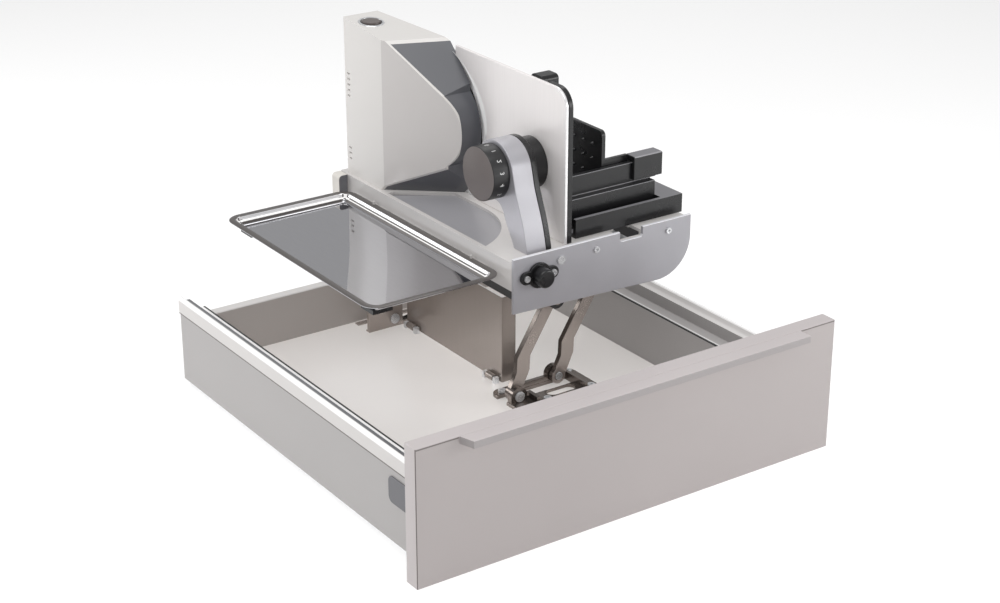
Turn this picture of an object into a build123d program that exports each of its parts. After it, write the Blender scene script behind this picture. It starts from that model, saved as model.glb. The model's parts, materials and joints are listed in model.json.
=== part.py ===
"""Food slicer on a swing-up lift, built into a metal-sided kitchen drawer.

X runs to the right, Y to the back and Z up, in millimetres. The origin lies on the
ground below the middle of the whole drawer. The slicer stands raised, ready to use.
"""
import os
from math import cos, radians, sin, sqrt

from build123d import *

os.makedirs("parts", exist_ok=True)

# Drawer: driving sizes
front_width = 447.0
front_height = 127.4
front_thickness = 16.6
front_edge_radius = 1.0
handle_reach = 14.5
handle_height = 6.8
handle_end_margin = 42.0
handle_corner = 4.5
side_length = 443.4
side_inset = 21.5
side_depth = 27.2
side_bottom_z = 4.0
side_top_z = 74.0
side_sheet = 1.2
side_ledge = 14.0
top_rail_width = 12.0
top_rail_top_z = 91.0
top_rail_wall = 1.5
top_rail_overhang = 1.0
floor_top_z = 21.0
floor_thickness = 12.0
floor_gap = 0.3
rear_thickness = 12.0
rear_height = 49.0
side_cap_length = 55.0
side_cap_height = 25.0
side_cap_thickness = 1.2
side_cap_from_front = 4.0
side_cap_bottom_z = 42.0

# Drawer runners: driving sizes
runner_gap = 0.3
runner_sheet = 1.5
runner_front_margin = 20.0
runner_rear_margin = 2.0
runner_foot_z = 0.8
runner_foot_thickness = 2.0
runner_foot_width = 19.0
runner_lower_lip_z = 30.0
runner_height = 30.0
runner_lip = 10.0
runner_wall_gap = 1.8
runner_screw_radius = 2.25
runner_screw_pitch = 224.0
runner_screw_first = 37.0

# Lift: driving sizes
link_length = 98.0
link_lean = 26.0
link_pitch = 57.0
link_half_width = 7.5
link_boss_radius = 9.0
link_foot_radius = 8.0
link_thickness = 6.0
link_plane_gap = 1.0
lift_pin_radius = 4.0
lift_shaft_radius = 5.0
running_gap = 0.05
open_pivot_gap = 0.3
pivot_x = 14.5
pivot_above_floor = 9.0
link_setback = 50.0
rear_ear_margin = 28.0
bracket_plate = 3.5
bracket_left_margin = 10.0
bracket_right_margin = 28.0
bracket_front_margin = 18.0
bracket_screw_x = 25.0
bracket_window_x = 48.0
rear_bracket_plate = 1.5
rear_bracket_flange_height = 24.0
rear_bracket_flange_reach = 30.0
rear_bracket_right_margin = 30.0
bracket_screw_radius = 4.0
bracket_screw_head = 2.4
fold_panel_height = 86.0
fold_panel_sheet = 1.5
fold_panel_flange = 16.0
fold_panel_pin_radius = 2.0
fold_panel_axis_z = 4.0
fold_panel_knuckle = 12.0
fold_panel_front = 97.0
fold_panel_rear_gap = 4.0

# Slicer base: driving sizes
base_rear_gap = 3.4
base_width = 201.0
base_length = 299.0
base_left_of_pivot = 85.0
deck_above_pivot = 72.0
housing_height = 27.0
housing_wall = 3.0
housing_corner_radius = 3.0
cover_thickness = 3.0
cover_rise = 4.0
cover_notch_x = 131.0
cover_notch_width = 26.0
cover_notch_depth = 9.5
cover_left_drop = 48.5
cover_low_drop = 53.5
cover_low_x = 163.0
cover_right_drop = 17.0
frame_depth = 12.0
frame_sheet = 2.0
frame_margin = 6.0
chute_sheet = 2.0
blade_slot_margin = 2.0
guide_rod_radius = 4.0
guide_rod_x = 134.0
guide_rod_drop = 12.0

# Tower, drive and blade: driving sizes
tower_left = 4.0
tower_width = 62.0
tower_back = 290.0
tower_fold = 222.0
tower_nose_x = 44.0
tower_nose_y = 147.0
tower_top = 157.0
tower_top_front = 149.4
tower_top_front_y = 219.0
tower_top_right = 148.4
tower_top_right_x = 63.0
tower_top_right_y = 203.0
tower_shoulder = 104.0
tower_shoulder_x = 34.4
tower_shoulder_y = 165.0
tower_skin = 2.5
blade_radius = 83.0
blade_thickness = 1.2
blade_x = 69.0
blade_y = 221.0
blade_z = 57.5
blade_shaft_radius = 5.0
blade_hub_radius = 14.0
case_wall = 3.0
gear_module = 1.44
gear_teeth = 60
pinion_teeth = 10
gear_width = 8.0
gear_x = 40.0
gear_hub_radius = 9.0
bearing_radius = 11.0
bearing_width = 6.0
bearing_boss_radius = 15.0
motor_radius = 20.0
motor_length = 27.0
motor_shaft_radius = 2.5
motor_rise = 46.0
switch_radius = 9.0
switch_x = 20.5
switch_y = 266.0
switch_travel = 2.0

# Stop plate and arm: driving sizes
plate_sheet = 3.0
plate_x = 63.5
plate_backing_thickness = 5.0
plate_front = 11.0
plate_back = 186.5
plate_top = 144.0
plate_foot_gap = 0.5
plate_blade_gap = 1.5
plate_corner_radius = 18.0
backing_top_drop = 7.0
backing_top_front = 30.0
arm_x = 22.0
arm_width = 21.0
arm_liner_width = 6.0
arm_head_radius = 28.0
arm_axis_y = 61.0
arm_axis_z = 65.3
arm_wall = 4.0
knob_radius = 25.0
knob_width = 17.5
knob_shaft_radius = 5.5
spindle_radius = 3.5
drum_radius = 24.0
drum_wall = 2.5

# Carriage and pusher: driving sizes
carriage_x = 78.0
carriage_front = 14.0
carriage_length = 170.0
carriage_gap = 2.0
carriage_floor = 4.0
carriage_lip_height = 20.0
carriage_lip = 4.0
carriage_width = 123.0
carriage_block_width = 23.0
carriage_block_length = 46.0
low_rail_y = 26.0
low_rail_height = 34.5
high_rail_y = 34.0
high_rail_height = 53.5
high_rail_overhang = 7.0
rail_thickness = 6.0
pusher_x = 126.0
pusher_sheet = 4.0
pusher_back = 154.0
pusher_top = 87.0
pusher_gap = 0.4
grip_x = 156.0
grip_length = 33.0
grip_bottom = 37.0
grip_wall = 3.6
grip_roof = 5.6
handle_y = 139.0
handle_length = 19.0
handle_top = 113.0
handle_bottom = 70.0
handle_width = 20.0
handle_sheet = 5.0
stud_rows = 5
stud_columns = 7
stud_pitch = 14.0
stud_radius = 1.6
stud_height = 2.5

# Slice tray: driving sizes
tray_width = 138.2
tray_front = 12.0
tray_rear_margin = 19.0
tray_drop = 14.0
tray_depth = 8.0
tray_sheet = 1.0
tray_rim = 7.0
tray_ledge = 5.0

# Lock knob: driving sizes
lock_x = 27.0
lock_drop = 16.0
lock_knob_radius = 8.8
lock_knob_length = 10.5
lock_pin_radius = 3.0
lock_flange_thickness = 3.0
lock_flange_radius = 12.0
lock_travel = 6.0
lock_screw_pitch = 29.0

# Places that follow from the sizes above
total_depth = handle_reach + front_thickness + side_length
front_y = handle_reach - total_depth / 2
panel_back_y = front_y + front_thickness
drawer_back_y = total_depth / 2
side_outer_x = front_width / 2 - side_inset
side_inner_x = side_outer_x - side_depth
rear_inner_y = drawer_back_y - rear_thickness
pivot_z = floor_top_z + pivot_above_floor
upper_x = pivot_x + link_length * sin(radians(link_lean))
upper_z = pivot_z + link_length * cos(radians(link_lean))
base_x = upper_x - base_left_of_pivot
base_y = rear_inner_y - base_rear_gap - base_length
deck_z = upper_z + deck_above_pivot
link_step = link_thickness + link_plane_gap
front_ear_y = base_y + link_setback
rear_ear_y = base_y + base_length - rear_ear_margin
fold_axis_x = pivot_x + link_half_width + 2.0
fold_axis_z = floor_top_z + fold_panel_axis_z
fold_y = base_y + fold_panel_front
fold_panel_length = rear_ear_y - fold_panel_rear_gap - fold_y
blade_plane_x = base_x + blade_x
blade_axis_y = base_y + blade_y
blade_axis_z = deck_z + blade_z
tower_right = tower_left + tower_width
arm_end_x = base_x + arm_x + arm_width
tray_length = base_length - tray_front - tray_rear_margin
arm_y = base_y + arm_axis_y
arm_z = deck_z + arm_axis_z
gear_distance = gear_module * (gear_teeth + pinion_teeth) / 2
motor_y = blade_axis_y + gear_distance * cos(radians(motor_rise))
motor_z = blade_axis_z + gear_distance * sin(radians(motor_rise))
case_inset = tower_skin + case_wall
right_plane = 3 * link_step + 1
bracket_low_x = pivot_x - bracket_left_margin
bracket_high_x = pivot_x + link_pitch + bracket_right_margin
bracket_low_y = front_ear_y - bracket_front_margin
bracket_high_y = front_ear_y + right_plane + link_thickness + 7.0


def block(low, high, mode=Mode.ADD):
    """Box between two opposite corners, in the part that is being built."""
    size = [b - a for a, b in zip(low, high)]
    middle = [(a + b) / 2 for a, b in zip(low, high)]
    with Locations(tuple(middle)):
        Box(*size, mode=mode)


def bar_x(start, length, y, z, radius, mode=Mode.ADD):
    """Round bar along X from the given start."""
    with Locations(Location((start + length / 2, y, z), (0, 90, 0))):
        Cylinder(radius, length, mode=mode)


def bar_y(x, start, length, z, radius, mode=Mode.ADD):
    """Round bar along Y from the given start."""
    with Locations(Location((x, start + length / 2, z), (90, 0, 0))):
        Cylinder(radius, length, mode=mode)


def bar_z(x, y, start, length, radius, mode=Mode.ADD):
    """Round bar along Z from the given start."""
    with Locations((x, y, start + length / 2)):
        Cylinder(radius, length, mode=mode)


def slab(points, start, thickness, plane, mode=Mode.ADD):
    """Flat plate with the given outline, along the normal of its plane."""
    with BuildSketch(plane.offset(start)) as outline:
        with BuildLine():
            Polyline(*points, close=True)
        make_face()
    extrude(outline.sketch, amount=thickness, mode=mode)


def write(piece, name):
    """Label one finished piece and write it."""
    piece.label = name
    export_step(piece, "parts/" + name + ".step")


SIDE_VIEW = Plane((0, 0, 0), x_dir=(0, 1, 0), z_dir=(1, 0, 0))
FRONT_VIEW = Plane((0, 0, 0), x_dir=(1, 0, 0), z_dir=(0, -1, 0))


def span(side, inner, outer):
    """Ordered pair of X values between two distances from the middle."""
    return sorted((side * inner, side * outer))


def make_front_panel():
    with BuildPart() as front_panel:
        block((-front_width / 2, front_y, 0), (front_width / 2, panel_back_y, front_height))
        fillet(front_panel.edges().filter_by(Axis.Z), front_edge_radius)
        chamfer(front_panel.faces().sort_by(Axis.Z)[-1].edges(), front_edge_radius / 2)
    return front_panel.part


def make_handle_strip():
    left = -front_width / 2 + handle_end_margin
    right = front_width / 2 - handle_end_margin
    outline = [
        (left, front_y),
        (left + handle_corner, front_y - handle_reach),
        (right, front_y - handle_reach),
        (right, front_y),
    ]
    with BuildPart() as handle_strip:
        slab(outline, front_height - handle_height, handle_height, Plane.XY)
        top = handle_strip.faces().sort_by(Axis.Z)[-1]
        fillet(top.edges().sort_by(Axis.Y)[0], front_edge_radius)
    return handle_strip.part


def make_side(side):
    with BuildPart() as drawer_side:
        outer = span(side, side_outer_x - side_sheet, side_outer_x)
        inner = span(side, side_inner_x, side_inner_x + side_sheet)
        lid = span(side, side_inner_x, side_outer_x)
        ledge = span(side, side_inner_x - side_ledge, side_inner_x + side_sheet)
        ledge_z = floor_top_z - floor_thickness
        block((outer[0], panel_back_y, side_bottom_z), (outer[1], drawer_back_y, side_top_z))
        block((inner[0], panel_back_y, ledge_z - side_sheet), (inner[1], drawer_back_y, side_top_z))
        block((lid[0], panel_back_y, side_top_z - side_sheet), (lid[1], drawer_back_y, side_top_z))
        block((ledge[0], panel_back_y, ledge_z - side_sheet), (ledge[1], drawer_back_y, ledge_z))
    return drawer_side.part


def make_top_rail(side):
    with BuildPart() as top_rail:
        outer_x = side_outer_x + top_rail_overhang
        outer = span(side, outer_x - top_rail_width, outer_x)
        hollow = span(side, outer_x - top_rail_width + top_rail_wall, outer_x - top_rail_wall)
        block((outer[0], panel_back_y, side_top_z), (outer[1], drawer_back_y, top_rail_top_z))
        chamfer(top_rail.faces().sort_by(Axis.Z)[-1].edges().filter_by(Axis.Y), top_rail_wall)
        low = (hollow[0], panel_back_y, side_top_z + top_rail_wall)
        high = (hollow[1], drawer_back_y, top_rail_top_z - 2 * top_rail_wall)
        block(low, high, Mode.SUBTRACT)
    return top_rail.part


def make_cabinet_rail(side):
    front = panel_back_y + runner_front_margin
    back = drawer_back_y - runner_rear_margin
    outer = side_outer_x - side_sheet - runner_wall_gap
    low = runner_lower_lip_z
    high = low + runner_height
    web = span(side, outer - runner_sheet, outer)
    lip = span(side, outer - runner_lip, outer)
    foot = span(side, outer - runner_foot_width, outer)
    foot_top = runner_foot_z + runner_foot_thickness
    with BuildPart() as cabinet_rail:
        block((foot[0], front, runner_foot_z), (foot[1], back, foot_top))
        block((web[0], front, foot_top), (web[1], back, high))
        block((lip[0], front, low), (lip[1], back, low + runner_sheet))
        block((lip[0], front, high - runner_sheet), (lip[1], back, high))
        hole_x = side * (outer - runner_foot_width / 2)
        for hole_y in (front + runner_screw_first, front + runner_screw_first + runner_screw_pitch):
            bar_z(hole_x, hole_y, runner_foot_z, runner_foot_thickness, runner_screw_radius, Mode.SUBTRACT)
    return cabinet_rail.part


def make_middle_rail(side):
    front = panel_back_y + runner_front_margin
    back = drawer_back_y - runner_rear_margin
    outer = side_outer_x - side_sheet - runner_wall_gap
    flange = span(side, outer - 2 * runner_lip + 2, outer - runner_sheet - runner_gap)
    web = span(side, outer - runner_lip - runner_sheet, outer - runner_lip)
    low = runner_lower_lip_z + runner_sheet + runner_gap
    high = runner_lower_lip_z + runner_height - runner_sheet - runner_gap
    with BuildPart() as middle_rail:
        block((web[0], front, low), (web[1], back, high))
        block((flange[0], front, low), (flange[1], back, low + runner_sheet))
        block((flange[0], front, high - runner_sheet), (flange[1], back, high))
    return middle_rail.part


def make_drawer_rail(side):
    front = panel_back_y + runner_front_margin
    back = drawer_back_y - runner_rear_margin
    outer = side_outer_x - side_sheet - runner_wall_gap - runner_lip - runner_sheet - runner_gap
    inner = side_inner_x + side_sheet
    web = span(side, inner, inner + runner_sheet)
    lip = span(side, inner, outer)
    low = runner_lower_lip_z + 2 * (runner_sheet + runner_gap)
    high = runner_lower_lip_z + runner_height - 2 * (runner_sheet + runner_gap)
    with BuildPart() as drawer_rail:
        block((web[0], front, low), (web[1], back, high))
        block((lip[0], front, low), (lip[1], back, low + runner_sheet))
        block((lip[0], front, high - runner_sheet), (lip[1], back, high))
    return drawer_rail.part


def both_sides(make_one):
    """Left and right copy of a drawer part, as two solids of one piece."""
    with BuildPart() as pair:
        add(make_one(-1))
        add(make_one(1))
    return pair.part


def make_floor_panel():
    with BuildPart() as floor_panel:
        edge = side_inner_x - floor_gap
        low = (-edge, panel_back_y, floor_top_z - floor_thickness)
        block(low, (edge, drawer_back_y, floor_top_z))
    return floor_panel.part


def make_rear_panel():
    with BuildPart() as rear_panel:
        edge = side_inner_x - floor_gap
        block((-edge, rear_inner_y, floor_top_z), (edge, drawer_back_y, floor_top_z + rear_height))
        top = rear_panel.faces().sort_by(Axis.Z)[-1]
        chamfer(top.edges().filter_by(Axis.X), front_edge_radius)
    return rear_panel.part


def make_side_caps():
    with BuildPart() as side_caps:
        for side in (-1, 1):
            start = side_outer_x if side > 0 else -side_outer_x - side_cap_thickness
            middle_y = panel_back_y + side_cap_from_front + side_cap_length / 2
            middle_z = side_cap_bottom_z + side_cap_height / 2
            with BuildSketch(SIDE_VIEW.offset(start)):
                with Locations((middle_y, middle_z)):
                    RectangleRounded(side_cap_length, side_cap_height, 6)
            extrude(amount=side_cap_thickness)
    return side_caps.part


def make_front_brackets():
    """Steel corner plates that join the hollow sides to the front panel."""
    with BuildPart() as front_brackets:
        for side in (-1, 1):
            plate = span(side, side_inner_x + side_sheet, side_outer_x - side_sheet)
            leg = span(side, side_inner_x + side_sheet, side_inner_x + side_sheet + runner_sheet)
            low_z = floor_top_z
            high_z = side_top_z - side_sheet
            block((plate[0], panel_back_y, low_z), (plate[1], panel_back_y + runner_sheet, high_z))
            leg_back = panel_back_y + runner_front_margin - 2.0
            block((leg[0], panel_back_y, low_z), (leg[1], leg_back, high_z))
    return front_brackets.part


def ear_outline(x, z, half_width, foot_z):
    """Upright plate with a round head about a pivot."""
    with BuildLine() as outline:
        Polyline((x - half_width, z), (x - half_width, foot_z), (x + half_width, foot_z), (x + half_width, z))
        ThreePointArc((x + half_width, z), (x, z + half_width), (x - half_width, z))
    make_face(outline.edges())


def floor_ears(ear_y):
    """Places of the left and right ear at one end of the lift."""
    return (pivot_x, ear_y), (pivot_x + link_pitch, ear_y + right_plane)


def cut_link_slot(ear_y, low_x, thickness):
    """Open the plate below the planes in which the links swing."""
    low = (low_x - 1, ear_y + link_thickness + 0.4, floor_top_z)
    high = (pivot_x + link_pitch + 12, ear_y + right_plane - 0.4, floor_top_z + thickness)
    block(low, high, Mode.SUBTRACT)


def make_floor_bracket_front():
    middle_x = (bracket_low_x + bracket_high_x) / 2
    middle_y = (bracket_low_y + bracket_high_y) / 2
    plate_top = floor_top_z + bracket_plate
    with BuildPart() as floor_bracket_front:
        with BuildSketch(Plane.XY.offset(floor_top_z)):
            with Locations((middle_x, middle_y)):
                RectangleRounded(bracket_high_x - bracket_low_x, bracket_high_y - bracket_low_y, 9)
            with Locations((pivot_x + bracket_window_x, front_ear_y)):
                SlotOverall(32, 12, mode=Mode.SUBTRACT)
        extrude(amount=bracket_plate)
        fillet(floor_bracket_front.faces().sort_by(Axis.Z)[-1].edges(), 1.0)
        cut_link_slot(front_ear_y, bracket_low_x, bracket_plate)
        for ear_x, ear_y in floor_ears(front_ear_y):
            with BuildSketch(FRONT_VIEW.offset(-ear_y - link_thickness)):
                ear_outline(ear_x, pivot_z, link_boss_radius, floor_top_z + 1)
            extrude(amount=link_thickness)
            bar_y(ear_x, ear_y - 1, link_thickness + 2, pivot_z, lift_pin_radius, Mode.SUBTRACT)
        for hole_x, hole_y in bracket_holes():
            bar_z(hole_x, hole_y, floor_top_z, bracket_plate, 2.3, Mode.SUBTRACT)
        rib_y = front_ear_y + right_plane
        block((pivot_x + 14, rib_y, plate_top - 1), (pivot_x + link_pitch - 8, rib_y + 4, plate_top + 5))
        rib_z = plate_top + 6
        block((pivot_x + 12, front_ear_y - 12, plate_top - 1), (pivot_x + 16, front_ear_y + 5, rib_z))
        block((bracket_high_x - 17, front_ear_y - 12, plate_top - 1), (bracket_high_x - 14, rib_y, rib_z))
    return floor_bracket_front.part


def bracket_holes():
    """Places of the screws in the front floor bracket."""
    front_y_row = bracket_low_y + 7
    back_y_row = bracket_high_y - 8
    return [
        (pivot_x + bracket_screw_x, front_y_row),
        (bracket_high_x - 9, front_y_row),
        (bracket_low_x + 9, back_y_row),
        (bracket_high_x - 9, back_y_row),
    ]


def rear_bracket_holes():
    """Places of the screws in the rear floor bracket."""
    return [(pivot_x + 42, rear_ear_y - 7), (pivot_x + 82, rear_ear_y - 7)]


def make_floor_bracket_rear():
    low_x = pivot_x - rear_bracket_flange_reach
    high_x = pivot_x + link_pitch + rear_bracket_right_margin
    back_y = rear_ear_y + right_plane + link_thickness
    plate_top = floor_top_z + rear_bracket_plate
    with BuildPart() as floor_bracket_rear:
        block((low_x, rear_ear_y, floor_top_z), (high_x, back_y, plate_top))
        block((pivot_x + 32, rear_ear_y - 14, floor_top_z), (high_x - 10, rear_ear_y, plate_top))
        cut_link_slot(rear_ear_y, low_x, rear_bracket_plate)
        flange_top = floor_top_z + rear_bracket_flange_height
        block((low_x, rear_ear_y, floor_top_z), (pivot_x + 10, rear_ear_y + 4, flange_top))
        for ear_x, ear_y in floor_ears(rear_ear_y):
            with BuildSketch(FRONT_VIEW.offset(-ear_y - link_thickness)):
                ear_outline(ear_x, pivot_z, link_boss_radius, floor_top_z)
            extrude(amount=link_thickness)
            bar_y(ear_x, ear_y - 1, link_thickness + 2, pivot_z, lift_pin_radius, Mode.SUBTRACT)
        for hole_x, hole_y in rear_bracket_holes():
            bar_z(hole_x, hole_y, floor_top_z, rear_bracket_plate, 2.3, Mode.SUBTRACT)
    return floor_bracket_rear.part


def make_bracket_screws():
    with BuildPart() as bracket_screws:
        tops = [(place, floor_top_z + bracket_plate) for place in bracket_holes()]
        tops += [(place, floor_top_z + rear_bracket_plate) for place in rear_bracket_holes()]
        for (x, y), top in tops:
            bar_z(x, y, top, bracket_screw_head, bracket_screw_radius)
            bar_z(x, y, floor_top_z, top - floor_top_z, 2.2)
            with BuildSketch(Plane.XY.offset(top + bracket_screw_head)):
                with Locations((x, y)):
                    RegularPolygon(1.8, 6)
            extrude(amount=-1.2, mode=Mode.SUBTRACT)
    return bracket_screws.part


def make_floor_pins():
    """Four headed pins on which the links swing."""
    with BuildPart() as floor_pins:
        for ear_y in (front_ear_y, rear_ear_y):
            bar_y(pivot_x, ear_y - 0.2, 2 * link_step, pivot_z, lift_pin_radius)
            bar_y(pivot_x, ear_y - 2.2, 2.0, pivot_z, lift_pin_radius + 1.2)
            right_x = pivot_x + link_pitch
            right_y = ear_y + right_plane - link_step
            bar_y(right_x, right_y - 0.8, 2 * link_step, pivot_z, lift_pin_radius)
            bar_y(right_x, right_y + 2 * link_step - 0.8, 1.6, pivot_z, lift_pin_radius + 1.2)
    return floor_pins.part


def make_link(x, y, upper_radius):
    """Knee-shaped lift link between its lower and upper pivots."""
    rise = upper_z - pivot_z
    lean = upper_x - pivot_x
    spine = [(0, 0), (0.22 * lean, 0.24 * rise), (0.235 * lean, 0.40 * rise), (lean, rise)]
    left = [(x + a - link_half_width, pivot_z + b) for a, b in spine]
    right = [(x + a + link_half_width, pivot_z + b) for a, b in spine]
    with BuildPart() as link:
        with BuildSketch(FRONT_VIEW.offset(-y - link_thickness)):
            with BuildLine():
                Polyline(*left, *reversed(right), close=True)
            make_face()
            with Locations((x, pivot_z)):
                Circle(link_foot_radius)
            with Locations((x + lean, upper_z)):
                Circle(link_boss_radius)
        extrude(amount=link_thickness)
        bar_y(x, y - 1, link_thickness + 2, pivot_z, lift_pin_radius + running_gap, Mode.SUBTRACT)
        bar_y(x + lean, y - 1, link_thickness + 2, upper_z, upper_radius, Mode.SUBTRACT)
    return link.part


def make_lift_shaft():
    """Torsion shaft that ties the front and rear left links together."""
    with BuildPart() as lift_shaft:
        start = front_ear_y - 1.0
        end = rear_ear_y + link_step + link_thickness + 1.0
        bar_y(upper_x, start, end - start, upper_z, lift_shaft_radius)
    return lift_shaft.part


def make_fold_panel():
    """Sheet screen between the front and rear links that lies down with the lift."""
    left = fold_axis_x + 3.2
    low = fold_axis_z - fold_panel_axis_z + 1.2
    high = fold_axis_z + fold_panel_height
    with BuildPart() as fold_panel:
        block((left, fold_y, low), (left + fold_panel_sheet, fold_y + fold_panel_length, high))
        flange_end = left + fold_panel_flange
        block((left, fold_y, low), (flange_end, fold_y + fold_panel_sheet, high))
        corner = fold_panel.edges().filter_by(Axis.Z).sort_by(Axis.X)[0:2].sort_by(Axis.Y)[0]
        fillet(corner, 1.2)
        for start in (fold_y + 8, fold_y + fold_panel_length - 8 - fold_panel_knuckle):
            bar_y(fold_axis_x, start, fold_panel_knuckle, fold_axis_z, fold_panel_pin_radius + 1.5)
            block(
                (fold_axis_x, start, fold_axis_z - 1.0),
                (left + 0.5, start + fold_panel_knuckle, fold_axis_z + 1.0),
            )
            bar_y(
                fold_axis_x, start - 1, fold_panel_knuckle + 2, fold_axis_z,
                fold_panel_pin_radius + running_gap, Mode.SUBTRACT,
            )
    return fold_panel.part


def make_fold_hinge():
    """Pins and posts on the drawer floor that carry the folding screen."""
    with BuildPart() as fold_hinge:
        for start in (fold_y + 8, fold_y + fold_panel_length - 8 - fold_panel_knuckle):
            bar_y(fold_axis_x, start - 5, fold_panel_knuckle + 10, fold_axis_z, fold_panel_pin_radius)
            for post in (start - 5, start + fold_panel_knuckle + 1):
                block(
                    (fold_axis_x - 3, post, floor_top_z),
                    (fold_axis_x + 2, post + 4, fold_axis_z + fold_panel_pin_radius),
                )
    return fold_hinge.part


def make_lift_frame():
    """Black steel frame under the slicer, with the hangers for the links."""
    left = base_x + frame_margin
    right = base_x + base_width - frame_margin
    front = base_y + frame_margin
    back = base_y + base_length
    top = deck_z - housing_height
    low = top - frame_depth
    with BuildPart() as lift_frame:
        block((left, front, low), (right, back, top))
        block(
            (left + frame_sheet, front + frame_sheet, low),
            (right - frame_sheet, back - frame_sheet, top - frame_sheet),
            Mode.SUBTRACT,
        )
        block((left + 75, front + 75, top - frame_sheet), (right - 20, back - 75, top), Mode.SUBTRACT)
        for ear_y in (front_ear_y, rear_ear_y):
            for x, y in ((upper_x, ear_y), (upper_x + link_pitch, ear_y + right_plane)):
                with BuildSketch(FRONT_VIEW.offset(-y - link_thickness)):
                    with BuildLine():
                        Polyline(
                            (x - link_boss_radius, upper_z),
                            (x - 2 * link_boss_radius, top - frame_sheet / 2),
                            (x + 2 * link_boss_radius, top - frame_sheet / 2),
                            (x + link_boss_radius, upper_z),
                        )
                        ThreePointArc(
                            (x + link_boss_radius, upper_z),
                            (x, upper_z - link_boss_radius),
                            (x - link_boss_radius, upper_z),
                        )
                    make_face()
                extrude(amount=link_thickness)
            bore = lift_shaft_radius + running_gap
            bar_y(upper_x, ear_y - 1, link_thickness + 2, upper_z, bore, Mode.SUBTRACT)
            pin_y = ear_y + right_plane - link_step - 0.8
            pin_x = upper_x + link_pitch
            bar_y(pin_x, pin_y, 2 * link_step + 0.8, upper_z, lift_pin_radius)
            bar_y(pin_x, pin_y - 0.9, 1.0, upper_z, lift_pin_radius + 2)
    return lift_frame.part


def chute_outline(margin):
    """Outline of the slice chute in the deck, widened by a margin."""
    left = base_x + housing_wall + 1.5 - margin
    right = base_x + 58.0 + margin
    front = base_y + 50.0 - margin
    middle = base_y + 130.0
    back = base_y + 216.0
    with BuildLine() as outline:
        Polyline((right, middle), (right, base_y + 180.0), (left + 6, back), (left, back), (left, front))
        ThreePointArc((left, front), (base_x + 41.0 + margin, base_y + 78.0 - margin), (right, middle))
    make_face(outline.edges())


def make_base_housing():
    left = base_x
    right = base_x + base_width
    front = base_y + cover_thickness
    back = base_y + base_length
    low = deck_z - housing_height
    with BuildPart() as base_housing:
        block((left, front, low), (right, back, deck_z))
        fillet(base_housing.edges().filter_by(Axis.Z).group_by(Axis.Y)[-1], housing_corner_radius)
        block(
            (left + housing_wall, front + housing_wall, low),
            (right - housing_wall, back - housing_wall, deck_z - housing_wall),
            Mode.SUBTRACT,
        )
        with BuildSketch(Plane.XY.offset(deck_z)):
            chute_outline(0)
        extrude(amount=-housing_wall, mode=Mode.SUBTRACT)
        chord = sqrt(blade_radius**2 - (blade_z - housing_wall) ** 2)
        slot_x = blade_plane_x - blade_slot_margin
        block(
            (slot_x, blade_axis_y - chord - 3, deck_z - housing_wall),
            (blade_plane_x + blade_thickness + blade_slot_margin, blade_axis_y + chord + 3, deck_z),
            Mode.SUBTRACT,
        )
        rod_x = base_x + guide_rod_x
        block((rod_x - 8.5, front + 16, deck_z - housing_wall), (rod_x + 8.5, back - 16, deck_z), Mode.SUBTRACT)
        notch_low_x = base_x + cover_notch_x - cover_notch_width / 2
        notch_z = deck_z + cover_rise - cover_notch_depth
        block((notch_low_x, front - 1, notch_z), (notch_low_x + cover_notch_width, front + 17, deck_z), Mode.SUBTRACT)
        rod_z = deck_z - guide_rod_drop
        bar_y(rod_x, front - 1, base_length + 2, rod_z, guide_rod_radius, Mode.SUBTRACT)
        lock_z = deck_z - lock_drop
        bar_y(base_x + lock_x, front - 1, housing_wall + 2, lock_z, lock_pin_radius + running_gap, Mode.SUBTRACT)
        ledge_top = deck_z - tray_drop - tray_sheet
        for start in (tray_front + 30, tray_front + tray_length - 70):
            block(
                (left - tray_ledge, base_y + start, ledge_top - 4),
                (left + 1, base_y + start + 40, ledge_top),
            )
            bar_z(left - 3.2, base_y + start + 20, ledge_top - 1, 5, 1.2)
        block(inlet_low(0), inlet_high(1), Mode.SUBTRACT)
    return base_housing.part


def inlet_low(margin):
    """Lower front left corner of the mains inlet."""
    return (base_x + 150 - margin, base_y + base_length - 18, deck_z - 23 - margin)


def inlet_high(margin):
    """Upper rear right corner of the mains inlet."""
    return (base_x + 178, base_y + base_length + margin, deck_z - 7)


def make_power_inlet():
    low = inlet_low(0)
    high = inlet_high(0)
    with BuildPart() as power_inlet:
        block(low, high)
        recess_low = (low[0] + 3, low[1] + 4, low[2] + 3)
        recess_high = (high[0] - 3, high[1], high[2] - 3)
        block(recess_low, recess_high, Mode.SUBTRACT)
        for pin_x in (low[0] + 10, low[0] + 18):
            bar_y(pin_x, low[1] + 3, 11, (low[2] + high[2]) / 2, 1.0)
    return power_inlet.part


def make_power_unit():
    """Mains supply that hangs below the deck."""
    with BuildPart() as power_unit:
        right = base_x + base_width - 3 * housing_wall
        back = base_y + base_length - 79
        block((right - 42, back - 100, deck_z - 25), (right, back, deck_z - housing_wall))
        chamfer(power_unit.faces().sort_by(Axis.Z)[0].edges(), 1.5)
    return power_unit.part


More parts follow.
